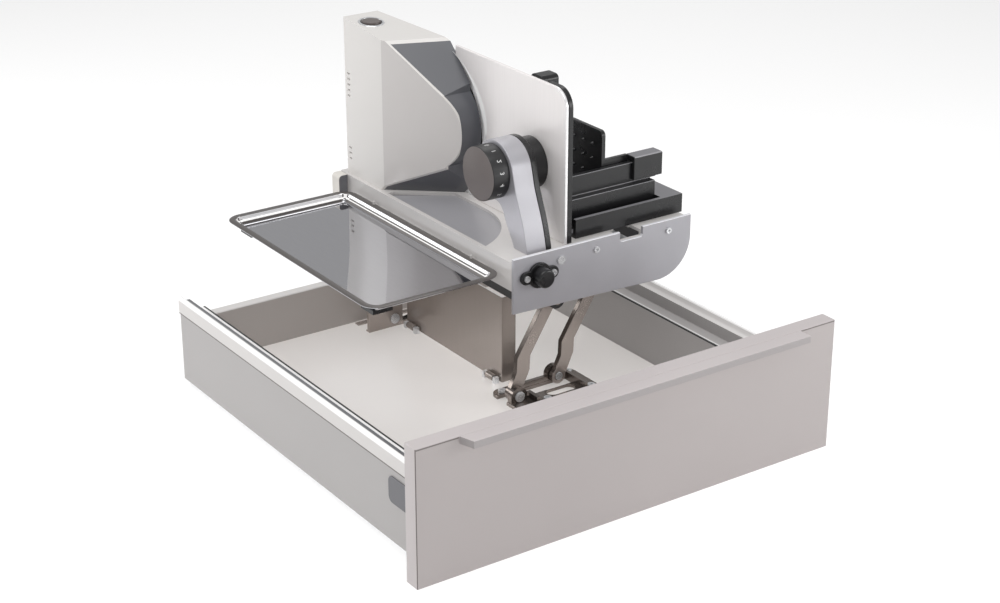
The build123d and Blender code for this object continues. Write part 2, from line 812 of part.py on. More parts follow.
def make_front_cover():
    left = base_x
    right = base_x + base_width
    top = deck_z + cover_rise
    knee = (base_x + cover_low_x, deck_z - cover_low_drop)
    with BuildPart() as front_cover:
        with BuildSketch(FRONT_VIEW.offset(-base_y - cover_thickness)):
            with BuildLine():
                Polyline((right, deck_z - cover_right_drop), (right, top), (left, top), (left, deck_z - cover_left_drop), knee)
                TangentArc(knee, (right, deck_z - cover_right_drop), tangent=(cover_low_x, cover_left_drop - cover_low_drop))
            make_face()
            with Locations((base_x + cover_notch_x, top)):
                RectangleRounded(cover_notch_width, 2 * cover_notch_depth, 3, mode=Mode.SUBTRACT)
        extrude(amount=cover_thickness)
        lock_z = deck_z - lock_drop
        bar_y(base_x + lock_x, base_y - 1, cover_thickness + 2, lock_z, lock_pin_radius + running_gap, Mode.SUBTRACT)
        front_face = front_cover.faces().sort_by(Axis.Y)[0]
        chamfer(front_face.outer_wire().edges().filter_by(GeomType.LINE).sort_by(SortBy.LENGTH)[-2:], 0.6)
    return front_cover.part


def make_cover_screws():
    """Round-headed screws in the front cover and in the flange of the lock."""
    flange_y = base_y - lock_flange_thickness
    half = lock_screw_pitch / 2
    places = [
        (base_x + 91.0, base_y, deck_z - 6.5),
        (base_x + 174.0, base_y, deck_z - 6.5),
        (base_x + lock_x - half, flange_y, deck_z - lock_drop),
        (base_x + lock_x + half, flange_y, deck_z - lock_drop),
    ]
    with BuildPart() as cover_screws:
        bar_y(base_x + 51.5, base_y - 1.6, 1.6, deck_z - 7.5, 4.2)
        for x, y, z in places:
            bar_y(x, y - 1.6, 1.6, z, 3.0)
            with BuildSketch(FRONT_VIEW.offset(1.6 - y)):
                with Locations((x, z)):
                    RegularPolygon(1.4, 6)
            extrude(amount=-1.0, mode=Mode.SUBTRACT)
    return cover_screws.part


def make_chute_plate():
    with BuildPart() as chute_plate:
        with BuildSketch(Plane.XY.offset(deck_z - housing_wall)):
            chute_outline(1.4)
        extrude(amount=-chute_sheet)
    return chute_plate.part


def make_guide_rod():
    with BuildPart() as guide_rod:
        rod_x = base_x + guide_rod_x
        start = base_y + cover_thickness
        length = base_length - cover_thickness
        bar_y(rod_x, start, length, deck_z - guide_rod_drop, guide_rod_radius)
    return guide_rod.part


def make_rear_end_cap():
    with BuildPart() as rear_end_cap:
        back = base_y + base_length
        low = deck_z - housing_height + 3
        block((base_x - 10, back - 15, low), (base_x, back - 1, deck_z))
        fillet(rear_end_cap.edges().filter_by(Axis.Y).sort_by(Axis.X)[0:2], 4)
    return rear_end_cap.part


def arm_outline():
    """Curved arm, seen from the side, without its round head."""
    axis = (arm_axis_y, arm_axis_z)
    lean = radians(162.3)
    reach = (arm_axis_y + arm_head_radius * cos(lean), arm_axis_z + arm_head_radius * sin(lean))
    chin = (arm_axis_y, arm_axis_z - arm_head_radius)
    front = [(10.5, 0), (18.3, 28), (29.5, 56), reach]
    back = [chin, (44.0, 22.0), (31.0, 0)]
    with BuildLine() as outline:
        lead = (sin(lean), -cos(lean))
        Spline(*[(base_y + a, deck_z + b) for a, b in front], tangents=[(0.2, 1.0), lead])
        Polyline(*[(base_y + a, deck_z + b) for a, b in (reach, axis, chin)])
        Spline(*[(base_y + a, deck_z + b) for a, b in back], tangents=[(-1.0, 0.0), (-0.4, -1.0)])
        Line((base_y + back[-1][0], deck_z), (base_y + front[0][0], deck_z))
    make_face(outline.edges())


def make_arm():
    start = base_x + arm_x
    with BuildPart() as arm:
        with BuildSketch(SIDE_VIEW.offset(start)):
            arm_outline()
            with Locations((arm_y, arm_z)):
                Circle(arm_head_radius)
        extrude(amount=arm_width)
        bar_x(start + arm_wall, arm_width, arm_y, arm_z, drum_radius + 0.4, Mode.SUBTRACT)
        bar_x(start - 1, arm_wall + 2, arm_y, arm_z, knob_shaft_radius + running_gap, Mode.SUBTRACT)
    return arm.part


def make_arm_liner():
    """Black inner half of the arm, with the bore in which the guide drum slides."""
    with BuildPart() as arm_liner:
        with BuildSketch(SIDE_VIEW.offset(arm_end_x)):
            arm_outline()
            with Locations((arm_y, arm_z)):
                Circle(arm_head_radius)
                Circle(drum_radius + 0.4, mode=Mode.SUBTRACT)
        extrude(amount=arm_liner_width)
    return arm_liner.part


def make_thickness_knob():
    start = base_x + arm_x - 0.4 - knob_width
    with BuildPart() as thickness_knob:
        bar_x(start, knob_width, arm_y, arm_z, knob_radius)
        fillet(thickness_knob.edges().filter_by(GeomType.CIRCLE), 0.8)
        bar_x(start + knob_width - 1, arm_wall + 5, arm_y, arm_z, knob_shaft_radius)
        bar_x(base_x + 10, 30, arm_y, arm_z, spindle_radius + running_gap, Mode.SUBTRACT)
    return thickness_knob.part


def make_stop_plate():
    """Aluminium plate that the food leans on, cut round the blade."""
    with BuildPart() as stop_plate:
        plate_profile(base_x + plate_x, plate_sheet)
    return stop_plate.part


def make_plate_backing():
    """Dark backing of the stop plate; only its front corner is as high as the plate."""
    start = base_x + plate_x + plate_sheet
    front = base_y + plate_front + backing_top_front
    back = base_y + plate_back + 1
    high = deck_z + plate_top
    low = high - backing_top_drop
    with BuildPart() as plate_backing:
        plate_profile(start, plate_backing_thickness)
        step = [(front, high + 1), (front + 6, low), (back, low), (back, high + 1)]
        slab(step, start, plate_backing_thickness, SIDE_VIEW, Mode.SUBTRACT)
    return plate_backing.part


def plate_profile(start, thickness):
    """Plate with a round top front corner, cut out round the blade."""
    front = base_y + plate_front
    back = base_y + plate_back
    low = deck_z + plate_foot_gap
    high = deck_z + plate_top
    with BuildSketch(SIDE_VIEW.offset(start)) as profile:
        Polygon((front, low), (back, low), (back, high), (front, high), align=None)
        with Locations((blade_axis_y, blade_axis_z)):
            Circle(blade_radius + plate_blade_gap, mode=Mode.SUBTRACT)
        corner = profile.vertices().group_by(Axis.X)[0].sort_by(Axis.Y)[-1]
        fillet(corner, plate_corner_radius)
    extrude(profile.sketch, amount=thickness)


def make_guide_drum():
    """Hollow guide of the stop plate, with the spindle that the knob screws in and out."""
    start = arm_end_x + 0.3
    length = base_x + plate_x - start
    with BuildPart() as guide_drum:
        bar_x(start, length, arm_y, arm_z, drum_radius)
        bar_x(start, length - drum_wall, arm_y, arm_z, drum_radius - drum_wall, Mode.SUBTRACT)
        spindle_x = base_x + arm_x + arm_wall + 0.5
        bar_x(spindle_x, start + length - spindle_x, arm_y, arm_z, spindle_radius)
    return guide_drum.part


def slope_plane():
    """Plane of the slope in front of the tower's top, facing forwards and up."""
    left = Vector(base_x + tower_left, base_y + tower_top_front_y, deck_z + tower_top_front)
    right = Vector(base_x + tower_top_right_x, base_y + tower_top_right_y, deck_z + tower_top_right)
    foot = Vector(base_x + tower_shoulder_x, base_y + tower_shoulder_y, deck_z + tower_shoulder)
    normal = (foot - left).cross(right - left).normalized()
    return Plane(origin=left, z_dir=normal)


def rear_facet_plane():
    """Plane of the bevel at the tower's upper right, facing up and to the right."""
    rear = Vector(base_x + 42, base_y + tower_back, deck_z + tower_top)
    front = Vector(base_x + tower_top_right_x, base_y + tower_top_right_y, deck_z + tower_top_right)
    foot = Vector(base_x + tower_right, base_y + tower_back, deck_z + 108)
    return Plane(origin=rear, z_dir=(front - rear).cross(foot - rear))


def tower_solid(inset):
    """Outer form of the tower; a positive inset moves its left, back and top faces in."""
    left = base_x + tower_left + inset
    right = base_x + tower_right
    back = base_y + tower_back - inset
    fold = base_y + tower_fold - inset / 2
    nose_x = base_x + tower_nose_x
    nose_y = base_y + tower_nose_y + 1.9 * inset
    low = deck_z
    plan = [(left, back), (left, fold), (nose_x, nose_y), (nose_x, nose_y - 20), (right, nose_y - 20), (right, back)]
    front_y_profile = base_y + tower_nose_y
    shoulder_y = base_y + tower_shoulder_y
    with BuildPart() as tower:
        slab(plan, low, tower_top, Plane.XY)
        with BuildSketch(SIDE_VIEW.offset(left)):
            with BuildLine():
                rear = (base_y + tower_back, deck_z + tower_top - inset)
                fall = (tower_top - tower_top_front) / (tower_back - tower_top_front_y)
                front_edge = base_y + tower_top_right_y - 8
                crest = (front_edge, rear[1] - fall * (rear[0] - front_edge))
                brow = (shoulder_y, deck_z + tower_shoulder + 14)
                shoulder = (shoulder_y, deck_z + tower_shoulder)
                heel = (base_y + 162.0, deck_z + 36.0)
                Polyline((rear[0], deck_z), rear, crest, brow, shoulder)
                Spline(shoulder, (front_y_profile, deck_z + 70.0), heel, tangents=[(-0.74, -0.62), (0.75, -0.66)])
                Polyline(heel, (heel[0], deck_z), (rear[0], deck_z))
            make_face()
        extrude(amount=right - left, mode=Mode.INTERSECT)
        split(bisect_by=slope_plane(), keep=Keep.BOTTOM)
        split(bisect_by=rear_facet_plane(), keep=Keep.BOTTOM)
    return tower.part


def undercut_plane():
    """Plane of the lower front facet, facing forwards and down."""
    heel = Vector(base_x + tower_left, base_y + tower_fold + 3, deck_z + 3)
    nose = Vector(base_x + tower_left + 29, base_y + tower_fold - 54.4, deck_z + 32)
    foot = Vector(base_x + 58, base_y + 183, deck_z)
    normal = (nose - heel).cross(foot - heel).normalized()
    return Plane(origin=heel, z_dir=normal)


def make_tower_shapes():
    """Light side cover and grey gear case, parted along the folded skin."""
    outer = tower_solid(0)
    inner = tower_solid(tower_skin)
    face = undercut_plane()
    with BuildPart() as tower_cover:
        add(outer)
        add(inner, mode=Mode.SUBTRACT)
        split(bisect_by=face, keep=Keep.TOP)
        for low, count in ((15.0, 3), (79.0, 5)):
            for row in range(count):
                z = deck_z + low + row * 5.5
                y = base_y + tower_back - 9
                x = base_x + tower_left
                block((x - 1, y, z), (x + tower_skin + 1, y + 5, z + 2), Mode.SUBTRACT)
        bar_z(
            base_x + switch_x, base_y + switch_y, deck_z + tower_top - 12, 20,
            switch_radius + 1.5, Mode.SUBTRACT,
        )
    with BuildPart() as tower_gear_case:
        add(inner)
        split(bisect_by=face, keep=Keep.TOP)
        add(case_cavity(face), mode=Mode.SUBTRACT)
        boss_x = base_x + tower_right - 16
        bar_x(boss_x, 14, blade_axis_y, blade_axis_z, bearing_boss_radius)
        bar_x(boss_x - 1, 20, blade_axis_y, blade_axis_z, bearing_radius, Mode.SUBTRACT)
        bar_z(
            base_x + switch_x, base_y + switch_y, deck_z + tower_top_front - 12, 30,
            switch_radius + 0.3, Mode.SUBTRACT,
        )
    return tower_cover.part, tower_gear_case.part


def case_cavity(face):
    """Space for the drive inside the gear case."""
    left = base_x + tower_left + case_inset
    right = base_x + tower_right - case_wall
    back = base_y + tower_back - case_inset
    top = deck_z + tower_top_front - case_inset - 2
    low = deck_z + case_wall
    with BuildPart() as cavity:
        plan = [
            (left, back),
            (left, base_y + tower_fold),
            (base_x + tower_nose_x + 2, base_y + tower_nose_y + 14),
            (right, base_y + tower_nose_y + 14),
            (right, back - 20),
            (right - 16, back),
        ]
        slab(plan, low, top - low, Plane.XY)
        profile = [
            (back, low),
            (back, top),
            (base_y + 212, top),
            (base_y + 170, deck_z + 103),
            (base_y + 158, deck_z + 72),
            (base_y + 170, deck_z + 36),
            (base_y + 170, low),
        ]
        slab(profile, left, right - left, SIDE_VIEW, Mode.INTERSECT)
        split(bisect_by=face.offset(case_wall), keep=Keep.TOP)
        split(bisect_by=slope_plane().offset(-case_wall), keep=Keep.BOTTOM)
        split(bisect_by=rear_facet_plane().offset(-case_wall), keep=Keep.BOTTOM)
    return cavity.part


def toothed_wheel(teeth, x, width, y, z, bore, phase):
    """Spur wheel with plain slim teeth; phase turns its first tooth, in degrees."""
    pitch_radius = gear_module * teeth / 2
    root = pitch_radius - 1.25 * gear_module
    tip = pitch_radius + 0.75 * gear_module
    step = 360 / teeth
    outline = []
    for tooth in range(teeth):
        middle = phase + tooth * step
        for radius, share in ((root, -0.22), (tip, -0.1), (tip, 0.1), (root, 0.22)):
            angle = radians(middle + share * step)
            outline.append((y + radius * cos(angle), z + radius * sin(angle)))
    slab(outline, x, width, SIDE_VIEW)
    bar_x(x - 1, width + 2, y, z, bore, Mode.SUBTRACT)


def make_drive_gear():
    with BuildPart() as drive_gear:
        toothed_wheel(
            gear_teeth, base_x + gear_x, gear_width, blade_axis_y, blade_axis_z,
            blade_shaft_radius, motor_rise,
        )
        bar_x(base_x + gear_x - 3, 3, blade_axis_y, blade_axis_z, gear_hub_radius)
        bar_x(base_x + gear_x - 4, 5, blade_axis_y, blade_axis_z, blade_shaft_radius, Mode.SUBTRACT)
    return drive_gear.part


def make_motor_rotor():
    """Motor shaft with its pinion."""
    with BuildPart() as motor_rotor:
        toothed_wheel(
            pinion_teeth, base_x + gear_x, gear_width, motor_y, motor_z,
            motor_shaft_radius, motor_rise + 180 + 180 / pinion_teeth,
        )
        start = base_x + tower_left + case_inset + 6
        bar_x(start, base_x + gear_x + gear_width - start, motor_y, motor_z, motor_shaft_radius)
    return motor_rotor.part


def make_motor():
    start = base_x + tower_left + case_inset
    with BuildPart() as motor:
        bar_x(start, motor_length, motor_y, motor_z, motor_radius)
        fillet(motor.edges().filter_by(GeomType.CIRCLE), 1.5)
        bar_x(start + 4, motor_length, motor_y, motor_z, motor_shaft_radius + running_gap, Mode.SUBTRACT)
    return motor.part


def make_blade_bearings():
    with BuildPart() as blade_bearings:
        for start in (base_x + tower_right - 16, base_x + tower_right - 1 - bearing_width):
            bar_x(start, bearing_width, blade_axis_y, blade_axis_z, bearing_radius)
            bore = blade_shaft_radius + running_gap
            bar_x(start - 1, bearing_width + 2, blade_axis_y, blade_axis_z, bore, Mode.SUBTRACT)
    return blade_bearings.part


def make_blade_shaft():
    with BuildPart() as blade_shaft:
        start = base_x + gear_x - 4
        end = blade_plane_x + 6
        bar_x(start, end - start, blade_axis_y, blade_axis_z, blade_shaft_radius)
    return blade_shaft.part


def make_blade():
    """Round blade, ground on its right side."""
    profile = [
        (blade_shaft_radius, 0),
        (blade_radius, 0),
        (blade_radius, 0.15),
        (blade_radius - 7, blade_thickness),
        (blade_shaft_radius, blade_thickness),
    ]
    with BuildPart() as blade:
        axis_plane = Plane(
            origin=(blade_plane_x, blade_axis_y, blade_axis_z), x_dir=(0, 1, 0), z_dir=(0, 0, 1)
        )
        with BuildSketch(axis_plane):
            with BuildLine():
                Polyline(*[(radius, -depth) for radius, depth in profile], close=True)
            make_face()
        revolve(axis=Axis((blade_plane_x, blade_axis_y, blade_axis_z), (1, 0, 0)))
    return blade.part


def make_blade_hub():
    with BuildPart() as blade_hub:
        back = base_x + tower_right + 0.5
        bar_x(back, blade_plane_x - back, blade_axis_y, blade_axis_z, blade_hub_radius)
        front = blade_plane_x + blade_thickness
        bar_x(front, 3, blade_axis_y, blade_axis_z, blade_hub_radius)
        bar_x(back - 1, 12, blade_axis_y, blade_axis_z, blade_shaft_radius, Mode.SUBTRACT)
    return blade_hub.part


def make_switch_button():
    x = base_x + switch_x
    y = base_y + switch_y
    flange_top = deck_z + tower_top_front - case_inset - 2.4
    with BuildPart() as switch_button:
        bar_z(x, y, flange_top - 2, deck_z + tower_top - flange_top + 1, switch_radius)
        bar_z(x, y, flange_top - 2, 2, switch_radius + 1.3)
        top_edge = switch_button.edges().filter_by(GeomType.CIRCLE).sort_by(Axis.Z)[-1]
        fillet(top_edge, 0.8)
    return switch_button.part


def make_switch_body():
    x = base_x + switch_x
    y = base_y + switch_y
    top = deck_z + tower_top_front - case_inset - 4.4 - switch_travel - 0.4
    with BuildPart() as switch_body:
        block((base_x + tower_left + case_inset, y - 12, top - 14), (x + 12, y + 12, top))
    return switch_body.part


def make_carriage_tray():
    left = base_x + carriage_x
    right = left + carriage_width
    front = base_y + carriage_front
    back = front + carriage_length
    low = deck_z + carriage_gap
    rod_x = base_x + guide_rod_x
    rod_z = deck_z - guide_rod_drop
    with BuildPart() as carriage_tray:
        block((left, front, low), (right, back, low + carriage_floor))
        block((left, front, low), (right, front + carriage_lip, deck_z + carriage_lip_height))
        block(
            (right - carriage_block_width, front, low),
            (right, front + carriage_block_length, deck_z + carriage_lip_height),
        )
        fillet(carriage_tray.edges().filter_by(Axis.Z).sort_by(Axis.X)[-2:], 3)
        block((rod_x - 8, base_y + 60, rod_z - 7), (rod_x + 8, base_y + 120, low))
        bar_y(rod_x, base_y + 59, 62, rod_z, guide_rod_radius + running_gap, Mode.SUBTRACT)
    return carriage_tray.part


def make_carriage_rails():
    left = base_x + carriage_x
    floor = deck_z + carriage_gap + carriage_floor
    block_x = left + carriage_width - carriage_block_width
    with BuildPart() as carriage_rails:
        y = base_y + low_rail_y
        block((left, y, floor), (block_x, y + high_rail_y - low_rail_y, deck_z + low_rail_height))
        y = base_y + high_rail_y
        block((left, y, floor), (block_x, y + rail_thickness, deck_z + high_rail_height))
        block(
            (block_x, y, deck_z + low_rail_height),
            (block_x + high_rail_overhang, y + rail_thickness, deck_z + high_rail_height),
        )
    return carriage_rails.part


def make_pusher_plate():
    """Studded plate that holds the food, with the arm that joins it to its grip."""
    left = base_x + pusher_x
    front = base_y + high_rail_y + rail_thickness + pusher_gap
    low = deck_z + carriage_gap + carriage_floor + pusher_gap
    with BuildPart() as pusher_plate:
        block((left, front, low), (left + pusher_sheet, base_y + pusher_back, deck_z + pusher_top))
        top_corner = pusher_plate.edges().filter_by(Axis.X).group_by(Axis.Z)[-1]
        fillet(top_corner, 5)
        block(
            (left, front, deck_z + grip_bottom),
            (base_x + grip_x + grip_length, front + grip_wall, deck_z + high_rail_height),
        )
        arm_top = deck_z + high_rail_height + pusher_gap + grip_roof
        block((left, front, deck_z + grip_bottom), (base_x + grip_x, front + grip_wall, arm_top))
        for row in range(stud_rows):
            for column in range(stud_columns):
                y = front + 14 + column * stud_pitch
                z = low + 10 + row * stud_pitch
                with Locations(Location((left - stud_height / 2, y, z), (0, -90, 0))):
                    Cone(stud_radius, 0.4, stud_height)
    return pusher_plate.part


def make_pusher_grip():
    """Grip that rides over the high rail."""
    front = base_y + high_rail_y - pusher_gap - grip_wall
    back = base_y + high_rail_y + rail_thickness + pusher_gap + grip_wall
    inside = deck_z + high_rail_height + pusher_gap
    with BuildPart() as pusher_grip:
        block((base_x + grip_x, front, inside), (base_x + grip_x + grip_length, back, inside + grip_roof))
        block(
            (base_x + grip_x, front, deck_z + grip_bottom),
            (base_x + grip_x + grip_length, front + grip_wall, inside + 1),
        )
        chamfer(pusher_grip.faces().sort_by(Axis.Z)[-1].edges(), 0.8)
    return pusher_grip.part


def make_pusher_handle():
    left = base_x + pusher_x + pusher_sheet
    with BuildPart() as pusher_handle:
        block(
            (left, base_y + handle_y, deck_z + handle_bottom),
            (left + handle_width, base_y + handle_y + handle_length, deck_z + handle_top),
        )
        fillet(pusher_handle.edges().filter_by(Axis.X), handle_sheet)
        fillet(pusher_handle.faces().sort_by(Axis.X)[-1].edges(), 2)
    return pusher_handle.part


def make_slice_tray():
    """Shallow stainless tray that hangs by its rim on the ledges of the base."""
    right = base_x - 1.5
    left = right - tray_width
    front = base_y + tray_front
    back = front + tray_length
    top = deck_z - tray_drop
    with BuildPart() as slice_tray:
        block((left, front, top - tray_sheet), (right, back, top))
        block(
            (left + tray_rim, front + tray_rim, top - tray_depth),
            (right - tray_rim, back - tray_rim, top),
        )
        block(
            (left + tray_rim + tray_sheet, front + tray_rim + tray_sheet, top - tray_depth + tray_sheet),
            (right - tray_rim - tray_sheet, back - tray_rim - tray_sheet, top),
            Mode.SUBTRACT,
        )
        fillet(slice_tray.edges().filter_by(Axis.Z).group_by(SortBy.LENGTH)[0], 0.4)
        for start in (tray_front + 30, tray_front + tray_length - 70):
            bar_z(base_x - 3.2, base_y + start + 20, top - 3, 6, 1.5, Mode.SUBTRACT)
    return slice_tray.part


def make_tray_clips():
    """Black feet below the front left corner and the left side of the tray."""
    left = base_x - 1.5 - tray_width
    top = deck_z - tray_drop - tray_depth
    with BuildPart() as tray_clips:
        for start in (tray_front + 14, tray_front + tray_length - 34):
            block((left + tray_rim + 4, base_y + start, top - 4), (left + tray_rim + 24, base_y + start + 20, top))
    return tray_clips.part


def make_lock_knob():
    y = base_y - lock_flange_thickness - 0.4
    z = deck_z - lock_drop
    with BuildPart() as lock_knob:
        bar_y(base_x + lock_x, y - lock_knob_length, lock_knob_length, z, lock_knob_radius)
        fillet(lock_knob.edges().filter_by(GeomType.CIRCLE).sort_by(Axis.Y)[0], 2)
    return lock_knob.part


def make_lock_pin():
    y = base_y - lock_flange_thickness - 0.4
    z = deck_z - lock_drop
    inside = base_y + cover_thickness + housing_wall
    with BuildPart() as lock_pin:
        bar_y(base_x + lock_x, y, inside + 24 - y, z, lock_pin_radius)
        bar_y(base_x + lock_x, inside + lock_travel + 0.4, 3, z, lock_pin_radius + 2.5)
    return lock_pin.part


def make_lock_flange():
    z = deck_z - lock_drop
    with BuildPart() as lock_flange:
        with BuildSketch(FRONT_VIEW.offset(-base_y)):
            with Locations((base_x + lock_x, z)):
                SlotOverall(lock_screw_pitch + 12, 12)
                Circle(lock_flange_radius)
                Circle(lock_pin_radius + running_gap, mode=Mode.SUBTRACT)
        extrude(amount=lock_flange_thickness)
    return lock_flange.part


def write_all():
    write(make_front_panel(), "front_panel")
    write(make_handle_strip(), "handle_strip")
    for side, name in ((-1, "left"), (1, "right")):
        write(make_side(side), "side_" + name)
        write(make_cabinet_rail(side), "cabinet_rail_" + name)
    write(both_sides(make_top_rail), "top_rails")
    write(both_sides(make_middle_rail), "middle_rails")
    write(both_sides(make_drawer_rail), "drawer_rails")
    write(make_floor_panel(), "floor_panel")
    write(make_rear_panel(), "rear_panel")
    write(make_side_caps(), "side_caps")
    write(make_front_brackets(), "front_brackets")
    write(make_floor_bracket_front(), "floor_bracket_front")
    write(make_floor_bracket_rear(), "floor_bracket_rear")
    write(make_bracket_screws(), "bracket_screws")
    write(make_floor_pins(), "floor_pins")
    for end, ear_y in (("front", front_ear_y), ("rear", rear_ear_y)):
        left = make_link(pivot_x, ear_y + link_step, lift_shaft_radius)
        right_y = ear_y + right_plane - link_step
        right = make_link(pivot_x + link_pitch, right_y, lift_pin_radius + open_pivot_gap)
        write(left, "link_" + end + "_left")
        write(right, "link_" + end + "_right")
    write(make_lift_shaft(), "lift_shaft")
    write(make_fold_panel(), "fold_panel")
    write(make_fold_hinge(), "fold_hinge")
    write(make_lift_frame(), "lift_frame")
    write(make_base_housing(), "base_housing")
    write(make_front_cover(), "front_cover")
    write(make_cover_screws(), "cover_screws")
    write(make_chute_plate(), "chute_plate")
    write(make_guide_rod(), "guide_rod")
    write(make_rear_end_cap(), "rear_end_cap")
    write(make_arm(), "arm")
    write(make_arm_liner(), "arm_liner")
    write(make_thickness_knob(), "thickness_knob")
    write(make_stop_plate(), "stop_plate")
    write(make_plate_backing(), "plate_backing")
    write(make_guide_drum(), "guide_drum")
    tower_cover, gear_case = make_tower_shapes()
    write(tower_cover, "tower_cover")
    write(gear_case, "tower_gear_case")
    write(make_drive_gear(), "drive_gear")
    write(make_motor_rotor(), "motor_rotor")
    write(make_motor(), "motor")
    write(make_blade_bearings(), "blade_bearings")
    write(make_blade_shaft(), "blade_shaft")
    write(make_blade(), "blade")
    write(make_blade_hub(), "blade_hub")
    write(make_switch_button(), "switch_button")
    write(make_switch_body(), "switch_body")
    write(make_power_inlet(), "power_inlet")
    write(make_power_unit(), "power_unit")
    write(make_carriage_tray(), "carriage_tray")
    write(make_carriage_rails(), "carriage_rails")
    write(make_pusher_plate(), "pusher_plate")
    write(make_pusher_grip(), "pusher_grip")
    write(make_pusher_handle(), "pusher_handle")
    write(make_slice_tray(), "slice_tray")
    write(make_tray_clips(), "tray_clips")
    write(make_lock_knob(), "lock_knob")
    write(make_lock_pin(), "lock_pin")
    write(make_lock_flange(), "lock_flange")


write_all()
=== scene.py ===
# %% [markdown]
# # A food slicer that lives in a kitchen drawer
# This lesson dresses a finished CAD model. The CAD gives every piece its true size and place, so the
# work here is what a photographer would see: eased edges, metals, lacquer, moulded plastic and light.
# Everything is in metres, X to the right, Y to the back and Z up, with the drawer's front facing -Y.

# %% Load the packed model
import json
from math import cos, pi, radians, sin

import bmesh
import bpy
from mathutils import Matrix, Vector


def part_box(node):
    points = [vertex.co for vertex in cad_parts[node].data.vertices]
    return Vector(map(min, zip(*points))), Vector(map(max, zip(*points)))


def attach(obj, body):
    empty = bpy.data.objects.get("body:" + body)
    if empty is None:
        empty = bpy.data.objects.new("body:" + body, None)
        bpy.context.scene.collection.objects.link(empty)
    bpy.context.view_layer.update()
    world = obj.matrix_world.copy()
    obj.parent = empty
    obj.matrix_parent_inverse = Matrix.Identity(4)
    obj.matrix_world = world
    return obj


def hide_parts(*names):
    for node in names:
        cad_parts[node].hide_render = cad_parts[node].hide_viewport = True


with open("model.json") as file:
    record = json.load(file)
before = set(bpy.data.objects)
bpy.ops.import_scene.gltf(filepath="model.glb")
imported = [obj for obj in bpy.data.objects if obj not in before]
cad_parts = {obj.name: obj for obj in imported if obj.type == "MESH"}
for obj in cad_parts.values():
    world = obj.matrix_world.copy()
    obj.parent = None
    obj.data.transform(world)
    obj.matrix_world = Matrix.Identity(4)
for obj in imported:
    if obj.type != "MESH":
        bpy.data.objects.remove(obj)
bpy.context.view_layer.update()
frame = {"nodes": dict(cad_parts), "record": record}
bodies = frame["record"]["behaviour"]["bodies"]
body_of_node = {node: body for body, members in bodies.items() for node in members}

# %% [markdown]
# ## A small language for materials
# A procedural material is arithmetic on textures. Wiring Math nodes by hand hides that arithmetic, so
# this class wraps one output socket and lets Python's own operators add the nodes. Any other node
# comes from one method that takes its type, its settings and what goes into its sockets.

# %% Wire: one output socket that can be reckoned with
class Wire:
    def __init__(self, tree, end=None):
        self.tree = tree
        self.end = end

    def feed(self, target, value):
        if isinstance(value, Wire):
            self.tree.links.new(value.end, target)
        else:
            target.default_value = value

    def node(self, kind, settings=None, values=None, out=0):
        made = self.tree.nodes.new(kind)
        settings = dict(settings or {})
        stops = settings.pop("stops", None)
        for name, value in settings.items():
            setattr(made, name, value)
        if stops:
            ramp = made.color_ramp
            ramp.elements[0].position = stops[0][0]
            ramp.elements[-1].position = stops[-1][0]
            for place, _ in stops[1:-1]:
                ramp.elements.new(place)
            for element, (_, colour) in zip(ramp.elements, stops):
                element.color = (*colour, 1)
        for name, value in (values or {}).items():
            self.feed(made.inputs[name], value)
        return Wire(self.tree, made.outputs[out])

    def reckon(self, operation, first, second=0.0):
        return self.node("ShaderNodeMath", {"operation": operation}, {0: first, 1: second})

    def __add__(self, other):
        return self.reckon("ADD", self, other)

    def __radd__(self, other):
        return self.reckon("ADD", other, self)

    def __sub__(self, other):
        return self.reckon("SUBTRACT", self, other)

    def __rsub__(self, other):
        return self.reckon("SUBTRACT", other, self)

    def __mul__(self, other):
        return self.reckon("MULTIPLY", self, other)

    def __rmul__(self, other):
        return self.reckon("MULTIPLY", other, self)


print("Wire knows", [name for name in vars(Wire) if name.startswith("__r")])

# %% [markdown]
# ## Texture places, grain and colour mixes
# Every node's mesh holds its true coordinates, so Object coordinates are millimetre-true everywhere and
# need no unwrapping. Grain that is much longer one way than the other is plain noise on coordinates
# that are squeezed along that way, which is how brushed metal gets its lines.

# %% Helpers that every finish shares
def place(wire, stretch=(1, 1, 1)):
    """Object coordinates in metres, scaled along each axis."""
    spot = wire.node("ShaderNodeTexCoord", out="Object")
    return wire.node("ShaderNodeMapping", values={"Vector": spot, "Scale": stretch})


def grain(wire, per_metre, stretch=(1, 1, 1), detail=2.0, roughness=0.5):
    """Noise with about this many blobs in a metre."""
    values = {"Vector": place(wire, stretch), "Scale": per_metre, "Detail": detail, "Roughness": roughness}
    return wire.node("ShaderNodeTexNoise", values=values)


def between(wire, low, high, share):
    """Colour that goes from low to high as share goes from 0 to 1."""
    values = {0: share, 6: (*low, 1), 7: (*high, 1)}
    return wire.node("ShaderNodeMix", {"data_type": "RGBA"}, values, out=2)


def relief(wire, height, depth):
    """Normal of a surface with this height pattern, depth in metres."""
    return wire.node("ShaderNodeBump", values={"Height": height, "Distance": depth, "Strength": 1.0})


def material(name, vary, **fixed):
    """Principled material: vary(wire) gives the sockets that change over the surface."""
    made = bpy.data.materials.new(name)
    made.use_nodes = True
    shader = made.node_tree.nodes["Principled BSDF"]
    wire = Wire(made.node_tree)
    for socket, value in {**fixed, **vary(wire)}.items():
        wire.feed(shader.inputs[socket], value)
    return made


def srgb(text):
    """Linear colour from a screen colour such as C0B9B8."""
    parts = [int(text[i:i + 2], 16) / 255 for i in (0, 2, 4)]
    return tuple(c / 12.92 if c <= 0.04045 else ((c + 0.055) / 1.055) ** 2.4 for c in parts)


print("warm grey", [round(c, 3) for c in srgb("C0B9B8")])

# %% [markdown]
# ## Lacquer and painted sheet
# The drawer's front is lacquered board: a smooth film with the faintest orange peel, which breaks up
# reflections without being seen itself. The steel sides have a powder coat, which is finer and duller.
# Both are one material function with other numbers.

